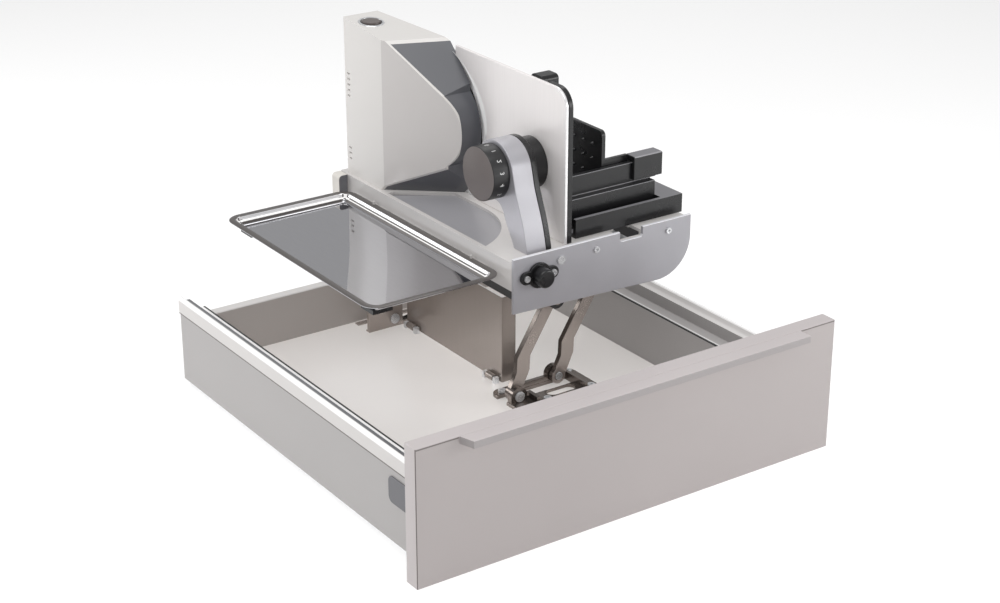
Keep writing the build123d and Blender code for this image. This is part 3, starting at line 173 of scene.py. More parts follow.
# %% Painted finishes
def painted(name, colour, roughness, peel_per_metre, peel_depth, coat=0.0, drift=0.035):
    def vary(wire):
        slow = grain(wire, 9, detail=1.0)
        dark = tuple(c * (1 - drift) for c in colour)
        light = tuple(min(1.0, c * (1 + drift)) for c in colour)
        peel = grain(wire, peel_per_metre, detail=1.0)
        return {
            "Base Color": between(wire, dark, light, slow),
            "Roughness": peel * 0.06 + (roughness - 0.03),
            "Normal": relief(wire, peel, peel_depth),
        }
    return material(name, vary, **{"Coat Weight": coat, "Coat Roughness": 0.15})


front_lacquer = painted("front_lacquer", srgb("A8A1A0"), 0.30, 420, 0.00002, coat=0.25)
# A lighter copy of the front lacquer, painted light on the front's top and left end and on the handle strip.
painted_light_lacquer = painted("painted_light_lacquer", srgb("BBB4B4"), 0.32, 420, 0.00002, coat=0.2)
# A darker copy of the front lacquer, painted shade on the handle's lip and ends.
painted_shade_lacquer = painted("painted_shade_lacquer", srgb("9C9797"), 0.34, 420, 0.00002)
joint_lacquer = painted("joint_lacquer", srgb("6E6866"), 0.40, 420, 0.00002)
side_lacquer = painted("side_lacquer", srgb("ABA8A7"), 0.38, 1500, 0.00002)
back_lacquer = painted("back_lacquer", srgb("B3ADA9"), 0.34, 1500, 0.00002)
# The rails' pale lacquer, also used as painted light on the back's top and in the right rail's groove.
rail_lacquer_and_painted_light = painted("rail_lacquer_and_painted_light", srgb("D2CFCD"), 0.30, 1500, 0.00001, drift=0.015)
# Near-white for painted highlights: rail beads, side strips, the screen's top, a tray band and the crescent by
# the blade.
painted_highlight_white = painted("painted_highlight_white", srgb("FBFAF9"), 0.22, 1500, 0.000005, coat=0.4, drift=0.005)
# Dark grey painted shade in the left rail's groove.
painted_groove_shade = painted("painted_groove_shade", srgb("6C6C70"), 0.34, 1500, 0.00001)
floor_board = painted("floor_board", srgb("F7F3F0"), 0.20, 700, 0.000008, coat=0.35, drift=0.010)
tower_paint = painted("tower_paint", srgb("D4D1CE"), 0.30, 1300, 0.00001, coat=0.3, drift=0.015)
nose_paint = painted("nose_paint", srgb("C2BEBC"), 0.32, 1300, 0.00001, coat=0.2, drift=0.02)
deck_paint = painted("deck_paint", srgb("C6C3C1"), 0.32, 1300, 0.00001, coat=0.2, drift=0.015)
case_paint = painted("case_paint", srgb("56575C"), 0.36, 1600, 0.000015, coat=0.15)
chute_paint = painted("chute_paint", srgb("969599"), 0.34, 1600, 0.000012, coat=0.15)
# Near-black painted shade for narrow gaps: on the side strips and on the case's edge next to the blade.
painted_gap_shade = painted("painted_gap_shade", srgb("2E2D2E"), 0.5, 1600, 0.000005)
frame_paint = painted("frame_paint", (0.018, 0.018, 0.019), 0.42, 1600, 0.00003)
print("painted finishes:", [m.name for m in bpy.data.materials if m.name.endswith(("lacquer", "paint"))])

# %% [markdown]
# ## Metals
# A bare metal's look is its reflections, so colour barely varies and roughness does the work. Satin
# anodised aluminium and nickel plating scatter evenly. Brushed sheet has long fine scratches along one
# way, made with squeezed coordinates, which stretch highlights across the grain. The blade is ground: its
# outer ring is paler and rougher than the disc, so the distance from the axis picks the finish. The ground
# ring is real, and its pure white, which is not metal, is a painted highlight.

# %% Metal finishes
def brushed(name, colour, roughness, stretch, depth=0.000006, spread=0.12, metallic=1.0):
    def vary(wire):
        lines = grain(wire, 900, stretch, detail=3.0, roughness=0.65)
        return {
            "Base Color": between(wire, tuple(c * 0.9 for c in colour), colour, lines),
            "Roughness": lines * spread + (roughness - spread / 2),
            "Normal": relief(wire, lines, depth),
        }
    return material(name, vary, Metallic=metallic)


def satin(name, colour, roughness, metallic=1.0, cast=0.000008, per_metre=2200):
    def vary(wire):
        fine = grain(wire, per_metre, detail=2.0)
        cloud = grain(wire, 28, detail=2.0)
        dark = tuple(c * 0.92 for c in colour)
        light = tuple(min(1, c * 1.04) for c in colour)
        return {
            "Base Color": between(wire, dark, light, cloud),
            "Roughness": cloud * 0.08 + fine * 0.06 + (roughness - 0.07),
            "Normal": relief(wire, fine, cast),
        }
    return material(name, vary, Metallic=metallic)


plate_metal = brushed("plate_metal", srgb("EFEBEA"), 0.36, (1, 1, 0.02), metallic=0.2)
# A paler brushed finish for the painted highlight on the plate's bevel.
painted_plate_highlight = brushed("painted_plate_highlight", srgb("F4F3F4"), 0.20, (1, 1, 0.02), metallic=0.5)
mirror_steel = brushed("mirror_steel", srgb("BCBCC0"), 0.045, (1, 0.05, 1), 0.000001, 0.03)
# Bright and dark steels for painted reflections in the tray's rim.
bright_reflection_steel = brushed("bright_reflection_steel", srgb("F2F2F4"), 0.16, (1, 0.05, 1), 0.000001, 0.05, metallic=0.5)
dark_reflection_steel = brushed("dark_reflection_steel", srgb("5B5755"), 0.34, (1, 0.05, 1), 0.000002, 0.06, metallic=0.3)
screen_metal = brushed("screen_metal", srgb("9D948E"), 0.24, (1, 1, 0.03), 0.000003, 0.08, metallic=0.6)
zinc_metal = satin("zinc_metal", srgb("D2D3D5"), 0.28, 0.7)
cover_metal = satin("cover_metal", srgb("A6A5AA"), 0.38, 0.25)
painted_cover_highlight = satin("painted_cover_highlight", srgb("E2E2E6"), 0.30, 0.25)
arm_metal = satin("arm_metal", srgb("ACABB0"), 0.34, 0.3)
nickel_metal = satin("nickel_metal", srgb("ADA49E"), 0.26, 0.6, 0.00001)
bracket_metal = satin("bracket_metal", srgb("7E7671"), 0.22, 0.9, 0.00001)


def ground_steel(name, centre, ground_from):
    """Blade steel with a ground ring from this distance off the axis, which runs along X. The ring is pure
    white and not metal, a painted highlight.
    """
    def vary(wire):
        spot = wire.node("ShaderNodeTexCoord", out="Object")
        y = wire.node("ShaderNodeSeparateXYZ", values={0: spot}, out="Y") - centre.y
        z = wire.node("ShaderNodeSeparateXYZ", values={0: spot}, out="Z") - centre.z
        ring = wire.reckon("GREATER_THAN", y * y + z * z, ground_from ** 2)
        return {
            "Base Color": between(wire, srgb("C4C4C6"), srgb("FFFFFF"), ring),
            "Metallic": 0.9 - ring * 0.9,
            "Roughness": ring * 0.3 + 0.2,
        }
    return material(name, vary)


print("metal finishes:", [m.name for m in bpy.data.materials if m.name.endswith(("metal", "steel"))])

# %% [markdown]
# ## Moulded plastics
# Moulded housings carry a spark-eroded texture: tiny even bumps that turn the highlight into a soft
# sheen. Two scales of noise give it, one for the texture and one slow one for wear in the sheen.

# %% Plastic finishes
def moulded(name, colour, roughness, depth=0.00003, per_metre=2600, specular=0.5):
    def vary(wire):
        spark = grain(wire, per_metre, detail=1.0)
        wear = grain(wire, 35, detail=3.0)
        dark = tuple(c * 0.85 for c in colour)
        light = tuple(c * 1.1 for c in colour)
        return {
            "Base Color": between(wire, dark, light, wear),
            "Roughness": wear * 0.10 + (roughness - 0.05),
            "Normal": relief(wire, spark, depth),
        }
    return material(name, vary, **{"Specular IOR Level": specular})


black_plastic = moulded("black_plastic", (0.010, 0.010, 0.011), 0.28, specular=0.45)
grey_plastic = moulded("grey_plastic", srgb("727175"), 0.38)
bead_plastic = moulded("bead_plastic", srgb("8A898D"), 0.30, 0.00001)
knob_plastic = moulded("knob_plastic", (0.012, 0.012, 0.013), 0.40)
knob_face = moulded("knob_face", srgb("5C5452"), 0.40, 0.00001)
# Dark grey cap plastic of the side caps, also painted shade on the end cap's front faces.
cap_plastic_and_shade = moulded("cap_plastic_and_shade", srgb("6A6A6E"), 0.45)
pale_plastic = moulded("pale_plastic", srgb("D6D2CC"), 0.40, 0.00001)
gear_plastic = moulded("gear_plastic", srgb("D8D0B4"), 0.40, 0.00001)
numeral_white = moulded("numeral_white", srgb("D8D8D8"), 0.5, 0.000002)
print("plastic finishes:", [m.name for m in bpy.data.materials if "plastic" in m.name])

# %% [markdown]
# ## Light, floor and camera
# Pale products are lit by large soft sources, so that each face keeps one calm tone. The overhead and
# the rear softbox cast no shadow, so the shadow on the ground comes from the two side ones alone and is
# faint. The sky is a nearly even grey, which metals mirror.

# %% Sky and lamps
world = bpy.data.worlds.new("studio_sky")
world.use_nodes = True
bpy.context.scene.world = world
sky = Wire(world.node_tree)
up = sky.node("ShaderNodeSeparateXYZ", values={0: sky.node("ShaderNodeTexCoord", out="Generated")}, out="Z")
sky_stops = [(0.0, (0.60,) * 3), (0.5, (0.64,) * 3), (0.62, (0.50,) * 3), (1.0, (0.62,) * 3)]
sky_colour = sky.node("ShaderNodeValToRGB", {"stops": sky_stops}, {0: up * 0.5 + 0.5})
sky.feed(world.node_tree.nodes["Background"].inputs["Color"], sky_colour)


def softbox(name, spot, aim, size, watts, shadows=True):
    lamp = bpy.data.lights.new(name, "AREA")
    lamp.use_shadow = shadows
    lamp.cycles.cast_shadow = shadows
    lamp.shape = "RECTANGLE"
    lamp.size, lamp.size_y = size
    lamp.energy = watts
    made = bpy.data.objects.new(name, lamp)
    made.location = spot
    made.rotation_euler = (Vector(aim) - Vector(spot)).to_track_quat("-Z", "Y").to_euler()
    bpy.context.collection.objects.link(made)


softbox("key_overhead", (-0.4, -0.7, 2.2), (0, 0, 0.1), (1.8, 1.4), 25, shadows=False)
softbox("side_fill", (-1.2, 1.1, 0.7), (-0.1, 0.1, 0.15), (0.8, 0.6), 7)
softbox("front_right", (1.0, -1.0, 0.45), (0.15, -0.2, 0.1), (0.6, 0.5), 5.5)
softbox("rim_behind", (1.2, 1.5, 2.4), (0, 0, 0.2), (1.2, 0.8), 9, shadows=False)
print("lamps:", len(bpy.data.lights))

# %% [markdown]
# The ground is a plain white board. It gives off a little light of its own, so that it comes out white.

# %% Floor
ground = bmesh.new()
bmesh.ops.create_grid(ground, x_segments=8, y_segments=8, size=9)
ground_mesh = bpy.data.meshes.new("studio_floor")
ground.to_mesh(ground_mesh)
ground.free()
studio_floor = bpy.data.objects.new("studio_floor", ground_mesh)
bpy.context.collection.objects.link(studio_floor)
floor_sockets = {
    "Base Color": (0.95, 0.95, 0.95, 1), "Roughness": 0.9,
    "Emission Color": (1, 1, 1, 1), "Emission Strength": 0.07,
}
studio_floor.data.materials.append(material("floor_white", lambda wire: {}, **floor_sockets))
print("floor", studio_floor.dimensions[:2])

# %% [markdown]
# The camera stands where the photographer stood, which was worked out from the drawer's corners. Its
# lens is rather long, and it looks down at 23 degrees.

# %% Camera
view = bpy.data.cameras.new("camera")
view.lens = 73.44
view.sensor_width = 36
camera = bpy.data.objects.new("camera", view)
camera.location = (-0.9765, -1.4319, 0.8671)
camera.rotation_euler = (radians(66.7), 0, radians(-34.6))
bpy.context.collection.objects.link(camera)
bpy.context.scene.camera = camera
bpy.context.scene.view_settings.view_transform = "Standard"
print("camera lens", view.lens)

# %% [markdown]
# ## Eased edges
# CAD edges are perfectly sharp, and nothing real is: every sheet, casting and moulding has a small
# rounding that catches a line of light. A bevel modifier on a welded copy of the node gives it, and the
# copy stands for the node. Its faces are merged first, so that flat areas stay flat.

# %% A copy of a node with eased edges
def settle(piece, node, finish):
    """Give a piece its finish and the body of its node."""
    piece.data.materials.clear()
    piece.data.materials.append(finish)
    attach(piece, body_of_node[node])
    return piece


def from_shape(name, shape, smooth_angle=32):
    """Object with the faces of a bmesh, smooth up to an angle."""
    mesh = bpy.data.meshes.new(name)
    shape.verts.index_update()
    points = [tuple(v.co) for v in shape.verts]
    mesh.from_pydata(points, [], [[v.index for v in f.verts] for f in shape.faces])
    shape.free()
    mesh.shade_smooth()
    mesh.set_sharp_from_angle(angle=radians(smooth_angle))
    piece = bpy.data.objects.new(name, mesh)
    bpy.context.collection.objects.link(piece)
    return piece


def bake_modifiers(piece):
    """Turn the modifiers of a piece into its mesh."""
    graph = bpy.context.evaluated_depsgraph_get()
    mesh = bpy.data.meshes.new_from_object(piece.evaluated_get(graph))
    piece.modifiers.clear()
    piece.data = mesh


eased_above_degrees = 35
flat_within_degrees = 0.6
weld_reach = 0.000002


def eased(node, width_mm, finish, segments=2):
    """Copy of a node with its edges rounded by this width, standing for the node."""
    shape = bmesh.new()
    shape.from_mesh(frame["nodes"][node].data)
    bmesh.ops.remove_doubles(shape, verts=shape.verts, dist=weld_reach)
    flat = radians(flat_within_degrees)
    bmesh.ops.dissolve_limit(shape, angle_limit=flat, verts=shape.verts, edges=shape.edges)
    piece = from_shape("eased_" + node, shape)
    bevel = piece.modifiers.new("ease", "BEVEL")
    bevel.width = width_mm / 1000
    bevel.segments = segments
    bevel.limit_method = "ANGLE"
    bevel.angle_limit = radians(eased_above_degrees)
    bevel.harden_normals = True
    bake_modifiers(piece)
    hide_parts(node)
    return settle(piece, node, finish)


def bare(node, finish):
    """A node that keeps its CAD shape and gets a better finish."""
    piece = frame["nodes"][node]
    piece.data.materials.clear()
    piece.data.materials.append(finish)


def accent(piece, finish, chosen):
    """Second finish on the faces that chosen(centre, normal) picks."""
    piece.data.materials.append(finish)
    place_of_finish = len(piece.data.materials) - 1
    picked = [face for face in piece.data.polygons if chosen(face.center, face.normal)]
    for face in picked:
        face.material_index = place_of_finish
    return len(picked)


def extruded(name, outline, start, end, finish_of_side, node):
    """Bar along Y with this outline of (x, z) points and one finish for each of its sides."""
    shape = bmesh.new()
    front, back = ([shape.verts.new((x, y, z)) for x, z in outline] for y in (start, end))
    for k in range(len(outline)):
        j = (k + 1) % len(outline)
        shape.faces.new((front[k], front[j], back[j], back[k]))
    shape.faces.new(front)
    shape.faces.new(back)
    bmesh.ops.recalc_face_normals(shape, faces=shape.faces)
    piece = settle(from_shape(name, shape, 50), node, finish_of_side[0])
    finishes = list(dict.fromkeys(finish_of_side))
    for finish in finishes[1:]:
        piece.data.materials.append(finish)
    for k in range(len(outline)):
        piece.data.polygons[k].material_index = finishes.index(finish_of_side[k])
    return piece


print("edges are eased by copies of nodes")

# %% [markdown]
# ## Rings and skins
# Turned and pressed pieces are both stacks of rings: each ring is one section, and quads join it to
# the next. The two functions below lay such rings and skin them.

# %% Rings
least_radius = 0.0008


def rounded_ring(low, high, inset, z, corner, steps=8):
    """Points of a rounded rectangle, anticlockwise from the right end of its front side."""
    ring = []
    radius = max(corner - inset, least_radius)
    corners = [(high.x, low.y, -90), (high.x, high.y, 0), (low.x, high.y, 90), (low.x, low.y, 180)]
    for x, y, start in corners:
        cx = x - (inset + radius) * (1 if x == high.x else -1)
        cy = y - (inset + radius) * (1 if y == high.y else -1)
        for k in range(steps + 1):
            angle = radians(start + 90 * k / steps)
            ring.append(Vector((cx + radius * cos(angle), cy + radius * sin(angle), z)))
    return ring


def ring_skin(shape, rings, closed_end=True):
    """Skin of quads between rings with the same number of points."""
    laid = [[shape.verts.new(p) for p in ring] for ring in rings]
    for a, b in zip(laid, laid[1:]):
        for i in range(len(a)):
            j = (i + 1) % len(a)
            shape.faces.new((a[i], a[j], b[j], b[i]))
    if closed_end:
        shape.faces.new(laid[-1])
        shape.faces.new(list(reversed(laid[0])))


print("rings are skinned with quads")

# %% [markdown]
# ## The drawer
# A lacquered front, two hollow steel sides with a rail along the top, a white floor and a low back.
# They are boards, folded sheets and two clip covers, so the CAD shape is already right and only its
# edges are eased. The runners and the front's brackets are plain zinc-plated steel and keep their shape.

# %% Drawer pieces
drawer_finishes = {
    "front_panel": (0.7, front_lacquer), "handle_strip": (0.5, painted_light_lacquer),
    "side_left": (0.5, side_lacquer), "side_right": (0.5, side_lacquer), "rear_panel": (0.8, back_lacquer),
    "side_caps": (0.5, cap_plastic_and_shade), "floor_panel": (0.2, floor_board),
}
dressed = {node: eased(node, width, finish) for node, (width, finish) in drawer_finishes.items()}
for node in ("cabinet_rail_left", "cabinet_rail_right", "middle_rails", "drawer_rails", "front_brackets"):
    bare(node, zinc_metal)
print("drawer pieces eased:", len(dressed))

# %% [markdown]
# ## Edges of the front
# A thin dark line runs down the corners of the lacquered board and along its top, as the joint of an
# edging does. It could be a groove, but at this size a second finish on the bevel's faces and a narrow
# band do it. The top and the left end of the board are a tone lighter, which stands for the light on them, and
# the handle strip has the same lighter tone. The handle's lip and ends are a tone darker, which is painted
# shade, and the top of the drawer's back is paler than its face, which is painted light.

# %% The front's joints, the handle's lip and the back's pale top
panel_low, panel_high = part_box("front_panel")
strip_low, strip_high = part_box("handle_strip")


def on_corner_joint(centre, normal):
    return normal.y < -0.3 and abs(normal.x) > 0.3


def on_top_or_left_end(centre, normal):
    return normal.z > 0.7 or normal.x < -0.7


def on_lip(centre, normal):
    return normal.y < -0.7 or abs(normal.x) > 0.7


print("top faces:", accent(dressed["front_panel"], painted_light_lacquer, on_top_or_left_end))
print("joint faces:", accent(dressed["front_panel"], joint_lacquer, on_corner_joint))
# The handle's front and end faces are painted shade.
print("lip faces:", accent(dressed["handle_strip"], painted_shade_lacquer, on_lip))
# The back's upward faces are painted light with the rails' pale lacquer.
print("pale top:", accent(dressed["rear_panel"], rail_lacquer_and_painted_light, lambda centre, normal: normal.z > 0.5))
joint_height = 0.0011
joint_depth = 0.0002
joint_end_gap = 0.0008
half = joint_height / 2
joint_section = [(0, -half), (joint_depth * 2, -half), (joint_depth * 2, half), (0, half)]
for name, x0, x1 in (("left", panel_low.x, strip_low.x), ("right", strip_high.x, panel_high.x)):
    outline = [(panel_low.y - joint_depth + dy, panel_high.z - joint_height + dz) for dy, dz in joint_section]
    band = bmesh.new()
    ends = [[band.verts.new((x, y, z)) for y, z in outline] for x in (x0 + joint_end_gap, x1 - joint_end_gap)]
    for k in range(4):
        band.faces.new((ends[0][k], ends[0][(k + 1) % 4], ends[1][(k + 1) % 4], ends[1][k]))
    for end in ends:
        band.faces.new(end)
    bmesh.ops.recalc_face_normals(band, faces=band.faces)
    settle(from_shape("edge_band_" + name, band), "front_panel", joint_lacquer)

# %% [markdown]
# ## Rails along the top of the sides
# Each side ends in a pressed rail: a pale outer face, a round bead and a groove inside it. One outline swept
# along the side gives all three, with a finish for each facet. The bead is painted near-white as a highlight
# and the left rail's groove dark grey as shade. The right rail's groove is pale, which stands for the light
# that falls into it.

# %% Top rails
rail_low, rail_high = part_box("top_rails")
rail_outline = [
    (0.0, -17.0), (0.0, -15.8), (0.0, -3.4), (0.4, -1.6), (1.4, -0.4), (2.6, 0.0), (3.8, -0.3), (4.6, -1.2),
    (6.2, -3.6), (8.6, -4.8), (12.0, -5.2), (12.0, -17.0),
]
rail_finishes = [
    joint_lacquer, rail_lacquer_and_painted_light, painted_highlight_white, painted_highlight_white, painted_highlight_white, painted_highlight_white, painted_highlight_white,
    painted_groove_shade, painted_groove_shade, painted_groove_shade, side_lacquer, side_lacquer,
]
for side in (-1, 1):
    outline = [(side * (rail_high.x - u / 1000), rail_high.z + v / 1000) for u, v in rail_outline]
    finishes = [rail_lacquer_and_painted_light if side > 0 and finish == painted_groove_shade else finish for finish in rail_finishes]
    name = "top_rail_left" if side < 0 else "top_rail_right"
    rail = extruded(name, outline, rail_low.y, rail_high.y, finishes, "top_rails")
    if side < 0:
        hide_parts("top_rails")

# Along the inner top edge of each side lies a low strip. Its inner part is painted black as a shadow line, and
# its outer part is painted white as a highlight.
side_low, side_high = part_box("side_right")
ledge_inset = 0.0272
ledge_x = side_high.x - ledge_inset
painted_strip_section = [
    (0.15, -0.2), (0.15, 0.5), (0.6, 0.9), (1.9, 0.9), (2.2, 0.5), (4.6, 0.5), (5.0, 0.1), (5.0, -0.2),
]
painted_strip_finishes = [painted_gap_shade] * 4 + [painted_highlight_white] * 4
for side, hand in ((-1, "left"), (1, "right")):
    outline = [(side * (ledge_x + u / 1000), side_high.z + v / 1000) for u, v in painted_strip_section]
    extruded("side_painted_strip_" + hand, outline, side_low.y, side_high.y, painted_strip_finishes, "side_" + hand)
print("rails and beads swept")

# %% [markdown]
# ## The lift
# Cast brackets and stamped links in satin nickel. Their rounded arrises are wide for their size,
# because castings leave the mould with generous radii. The links' narrow sides are a tone darker, which stands
# for the shade they are in, and the screen's top faces are painted near-white as a highlight.

# %% Lift pieces
def on_narrow_side(centre, normal):
    return abs(normal.y) < 0.5


def on_screen_top(centre, normal):
    return normal.z > 0.5 and centre.z > screen_top - screen_highlight_band


for node in ("link_front_left", "link_front_right", "link_rear_left", "link_rear_right"):
    link = eased(node, 0.9, nickel_metal)
    print(node, "narrow sides:", accent(link, bracket_metal, on_narrow_side))
eased("floor_bracket_front", 1.0, bracket_metal, segments=3)
eased("floor_bracket_rear", 0.5, nickel_metal)
eased("floor_pins", 0.5, zinc_metal)
eased("bracket_screws", 0.4, zinc_metal)
screen = eased("fold_panel", 0.4, screen_metal)
screen_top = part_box("fold_panel")[1].z
screen_highlight_band = 0.003
print("screen's bright top:", accent(screen, painted_highlight_white, on_screen_top))
eased("lift_frame", 0.5, frame_paint)
bare("lift_shaft", nickel_metal)
bare("fold_hinge", zinc_metal)
print("lift pieces eased")

# %% [markdown]
# ## The slicer's base
# A pale housing, a satin aluminium cover at the front and a grey chute. The cover's long top edge is
# chamfered. Its upward faces, the chamfer among them, have a paler copy of the cover's finish, a painted
# highlight that makes the bright line under the plate. The end cap's front faces are dark grey, which is
# painted shade.

# %% Base pieces
eased("base_housing", 0.6, deck_paint)
cover = eased("front_cover", 0.9, cover_metal)
print("bright cover edge:", accent(cover, painted_cover_highlight, lambda centre, normal: normal.z > 0.3))
eased("chute_plate", 0.3, chute_paint)
end_cap = eased("rear_end_cap", 0.8, pale_plastic)
# The end cap's front faces take the dark grey as painted shade.
print("cap's dark clip:", accent(end_cap, cap_plastic_and_shade, lambda centre, normal: normal.y < -0.5))
eased("cover_screws", 0.4, zinc_metal)
eased("lock_flange", 0.6, black_plastic)
eased("lock_knob", 0.4, black_plastic)
for node in ("power_unit", "power_inlet"):
    eased(node, 0.4, black_plastic)
for node in ("guide_rod", "lock_pin"):
    bare(node, zinc_metal)
print("base pieces eased")

# %% [markdown]
# ## Tower, blade and plate
# The tower's pale skin is folded sheet over a grey case, and the plate is a thick aluminium extrusion
# with a black backing. The arm is a die casting. The skin's angled faces are a tone darker, which
# stands for the shade they are in.

# %% Tower pieces
def on_nose(centre, normal):
    return normal.y < -0.2 and normal.x < -0.5


def on_case_edge(centre, normal):
    return normal.x > 0.25 and centre.x > case_right - case_shade_band


def on_plate_bevel(centre, normal):
    return normal.x > -0.95 and normal.y < -0.1


def on_knob_face(centre, normal):
    return normal.x < -0.9 and centre.x < knob_low.x + knob_face_depth


tower = eased("tower_cover", 0.5, tower_paint)
print("nose faces:", accent(tower, nose_paint, on_nose))
case = eased("tower_gear_case", 0.9, case_paint)
case_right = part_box("tower_gear_case")[1].x
case_shade_band = 0.0012
# The case's edge faces next to the blade are painted near-black as the shade in the gap.
print("case's dark edge:", accent(case, painted_gap_shade, on_case_edge))
eased("switch_button", 0.3, knob_face)
blade_low, blade_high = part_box("blade")
blade_middle = (blade_low + blade_high) / 2
blade_radius = (blade_high.y - blade_low.y) / 2
plate = eased("stop_plate", 0.9, plate_metal)
# The plate's front-facing bevel faces get a paler finish as a painted highlight.
print("bright plate bevel:", accent(plate, painted_plate_highlight, on_plate_bevel))
eased("plate_backing", 0.6, black_plastic)
eased("arm", 1.6, arm_metal, segments=3)
eased("arm_liner", 0.8, black_plastic)
eased("guide_drum", 0.5, black_plastic)
knob = eased("thickness_knob", 0.8, knob_plastic)
knob_low, knob_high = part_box("thickness_knob")
knob_face_depth = 0.001
print("knob face:", accent(knob, knob_face, on_knob_face))
ground_width = 0.012
bare("blade", ground_steel("blade_steel", blade_middle, blade_radius - ground_width))
drive_finishes = {
    "blade_hub": black_plastic, "blade_shaft": zinc_metal, "blade_bearings": zinc_metal,
    "drive_gear": gear_plastic, "motor_rotor": zinc_metal, "motor": frame_paint,
    "switch_body": black_plastic,
}
for node, finish in drive_finishes.items():
    bare(node, finish)
print("tower pieces eased")

# %% [markdown]
# ## Numerals, the plate's bright edge and the switch's bezel
# Printed numerals follow the curve of the knob. A font outline is laid flat and each of its points is
# wound round the knob's axis. The bezel is a turned ring round the button, so it is a lathe shape. A bright
# crescent shows between plate and blade. It is a painted highlight: a thin white skin laid on the plate's face
# along the blade's circle, widest a little below its middle.

# %% Numerals, painted highlight and bezel
def numeral_points(text, height):
    """Vertices and faces of one numeral, flat and centred."""
    curve = bpy.data.curves.new("numeral", "FONT")
    curve.body = text
    curve.size = height
    curve.align_x = "CENTER"
    curve.align_y = "CENTER"
    flat = bpy.data.objects.new("numeral", curve)
    bpy.context.collection.objects.link(flat)
    mesh = bpy.data.meshes.new_from_object(flat.evaluated_get(bpy.context.evaluated_depsgraph_get()))
    bpy.data.objects.remove(flat)
    return [tuple(v.co) for v in mesh.vertices], [tuple(p.vertices) for p in mesh.polygons]


numeral_count = 14
numeral_height = 0.0062
numeral_line = 0.0095
numeral_lift = 0.00006
knob_radius = (knob_high.y - knob_low.y) / 2
knob_middle = (knob_low + knob_high) / 2
numerals = bmesh.new()
for k in range(numeral_count):
    points, faces = numeral_points(str(k), numeral_height)
    turn = 2 * pi * k / numeral_count
    laid = []
    for along, up, _ in points:
        angle = turn + along / knob_radius
        reach = knob_radius + numeral_lift
        y = knob_middle.y - reach * sin(angle)
        z = knob_middle.z + reach * cos(angle)
        laid.append(numerals.verts.new((knob_low.x + numeral_line - up, y, z)))
    for face in faces:
        numerals.faces.new([laid[i] for i in face])
settle(from_shape("knob_numerals", numerals), "thickness_knob", numeral_white)


ring_weld = 0.000001


def lathed(name, profile, centre, axis, node, finish, steps=64):
    """Ring that is turned from (radius, height) points round an axis through centre."""
    shape = bmesh.new()
    aim = Vector(axis).normalized()
    side = aim.orthogonal().normalized()
    other = aim.cross(side)
    rings = []
    for radius, height in profile:
        spots = [Vector(centre) + aim * height + (side * cos(a) + other * sin(a)) * radius
                 for a in (2 * pi * k / steps for k in range(steps))]
        rings.append(spots)
    ring_skin(shape, rings + [rings[0]], closed_end=False)
    bmesh.ops.remove_doubles(shape, verts=shape.verts, dist=ring_weld)
    bmesh.ops.recalc_face_normals(shape, faces=shape.faces)
    return settle(from_shape(name, shape, 40), node, finish)


plate_low, plate_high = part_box("stop_plate")
plate_gap = 0.0015
highlight_width = 0.0065
highlight_least = 0.0004
highlight_lift = 0.00015
highlight_steps = 40
highlight_foot_rise = 0.012
highlight_foot = blade_middle.z + highlight_foot_rise
highlight_top_gap = 0.004
# This skin is a painted highlight: white faces on the plate along the blade's edge.
bevel = bmesh.new()
rows = []
for k in range(highlight_steps + 1):
    share = k / highlight_steps
    z = highlight_foot + (plate_high.z - highlight_top_gap - highlight_foot) * share
    inner = blade_radius + plate_gap
    height = z - blade_middle.z
    y = blade_middle.y - (inner ** 2 - height ** 2) ** 0.5
    width = highlight_width * sin(pi * min(1.0, share * 0.85 + 0.15)) + highlight_least
    rows.append([bevel.verts.new((plate_low.x - highlight_lift, y - width * t, z)) for t in (0, 1)])
for low, high in zip(rows, rows[1:]):
    bevel.faces.new((low[0], low[1], high[1], high[0]))
settle(from_shape("painted_blade_highlight", bevel), "stop_plate", painted_highlight_white)

button_low, button_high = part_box("switch_button")
button_rise = 0.0012
button_x = (button_low.x + button_high.x) / 2
button_y = (button_low.y + button_high.y) / 2
button_spot = Vector((button_x, button_y, button_high.z - button_rise))
bezel_profile = [
    (0.0105, -0.002), (0.0128, -0.002), (0.0128, -0.0004), (0.0122, 0.0002), (0.0108, 0.0002),
    (0.0105, -0.0003),
]
top_slope_normal = (0, -0.107, 0.994)
lathed("switch_bezel", bezel_profile, button_spot, top_slope_normal, "tower_cover", zinc_metal)
print("numerals:", numeral_count)

# %% [markdown]
# ## Carriage and pusher
# The food rests on a moulded black carriage with a low and a high rail, and a studded pusher holds it.
# Mouldings have even, small radii, so a bevel is enough. The tops of the grip and of the block and the
# long front edges catch the light. A second, lighter finish on those faces stands for that.

# %% Carriage pieces
carriage_widths = {
    "carriage_tray": 0.9, "carriage_rails": 0.9, "pusher_plate": 0.5, "pusher_grip": 0.8, "pusher_handle": 0.6,
}
carriage = {node: eased(node, width, black_plastic, segments=3) for node, width in carriage_widths.items()}
tray_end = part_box("carriage_tray")[1].x
block_width = 0.03


def on_block_top(centre, normal):
    return normal.z > 0.9 and centre.x > tray_end - block_width


def on_front_bead(centre, normal):
    return normal.y < -0.3 and normal.z > 0.3 and abs(normal.x) < 0.3


print("grip top:", accent(carriage["pusher_grip"], grey_plastic, lambda centre, normal: normal.z > 0.9))
print("block top:", accent(carriage["carriage_tray"], grey_plastic, on_block_top))
for node in ("carriage_tray", "carriage_rails", "pusher_grip"):
    print(node, "beads:", accent(carriage[node], bead_plastic, on_front_bead))
print("carriage pieces eased")

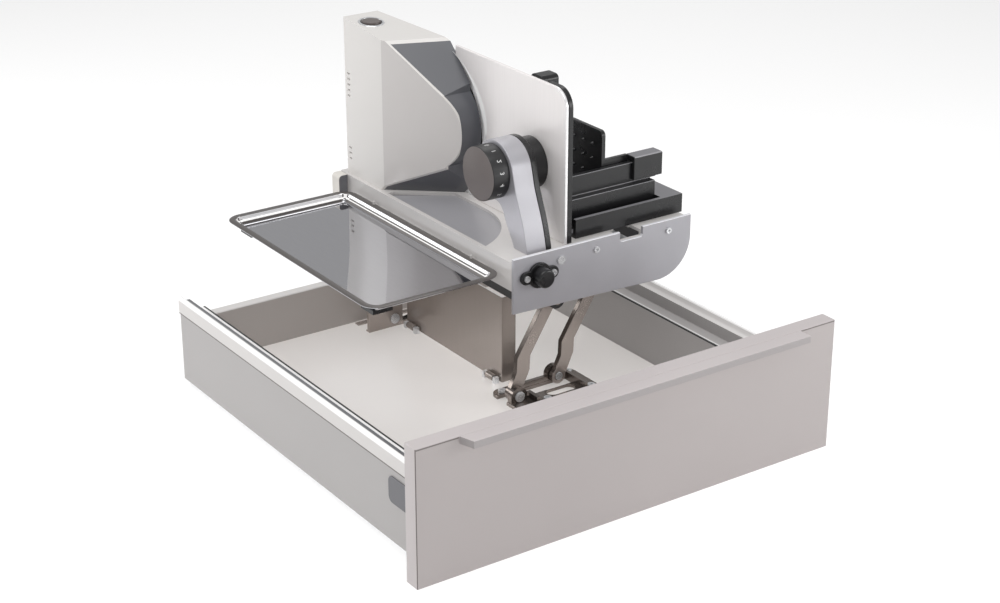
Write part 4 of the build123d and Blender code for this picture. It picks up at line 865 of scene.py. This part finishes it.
# %% [markdown]
# ## The slice tray
# A shallow pressed tray of mirror steel. A pressing is one sheet whose section repeats all the way
# round, so it is built as rings: each ring is a rounded rectangle at its own inset and height. Light and
# dark bands follow the steps of its rim, and stand for what the rim mirrors in the photograph.

# %% Slice tray
tray_low, tray_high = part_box("slice_tray")
tray_top = tray_high.z
tray_section = [
    (14.6, -8.0), (12.4, -7.7), (11.4, -6.9), (10.8, -5.0), (9.6, -4.2), (7.6, -4.0), (6.9, -2.6),
    (5.6, -1.2), (0.8, -1.0), (0.0, -0.8), (0.0, -0.25), (0.35, 0.0), (6.2, 0.0), (6.7, -0.25),
    (7.2, -1.2), (7.7, -2.7), (8.2, -3.1), (9.8, -3.3), (11.0, -3.9), (11.6, -5.2), (12.2, -6.3),
    (13.2, -6.8), (14.8, -7.0),
]
tray_corner = 0.016
tray_shape = bmesh.new()
tray_rings = [
    rounded_ring(tray_low, tray_high, d / 1000, tray_top + z / 1000, tray_corner) for d, z in tray_section
]
ring_skin(tray_shape, tray_rings)
bmesh.ops.recalc_face_normals(tray_shape, faces=tray_shape.faces)
slice_tray = settle(from_shape("pressed_slice_tray", tray_shape, 40), "slice_tray", mirror_steel)
# The bands are painted reflections, picked by how far in from the edge each upward face lies.
tray_bands = [
    (0.0068, dark_reflection_steel), (0.0080, bright_reflection_steel), (0.0090, dark_reflection_steel), (0.0113, painted_highlight_white), (0.0121, dark_reflection_steel),
]
for finish in (dark_reflection_steel, bright_reflection_steel, painted_highlight_white):
    slice_tray.data.materials.append(finish)
tray_finishes = list(slice_tray.data.materials)
for face in slice_tray.data.polygons:
    if face.normal.z < 0.02 or len(face.vertices) > 4:
        continue
    ends = [slice_tray.data.vertices[i].co for i in face.vertices]
    insets = [min(p.x - tray_low.x, tray_high.x - p.x, p.y - tray_low.y, tray_high.y - p.y) for p in ends]
    inside = sum(insets) / len(ends)
    for reach, finish in tray_bands:
        if inside < reach:
            face.material_index = tray_finishes.index(finish)
            break
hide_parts("slice_tray")
bare("tray_clips", black_plastic)
print("slice tray faces:", len(slice_tray.data.polygons))

# %% [markdown]
# Last, every node must have a finish.

# %% Every node has a finish
for node, piece in frame["nodes"].items():
    assert piece.data.materials, node
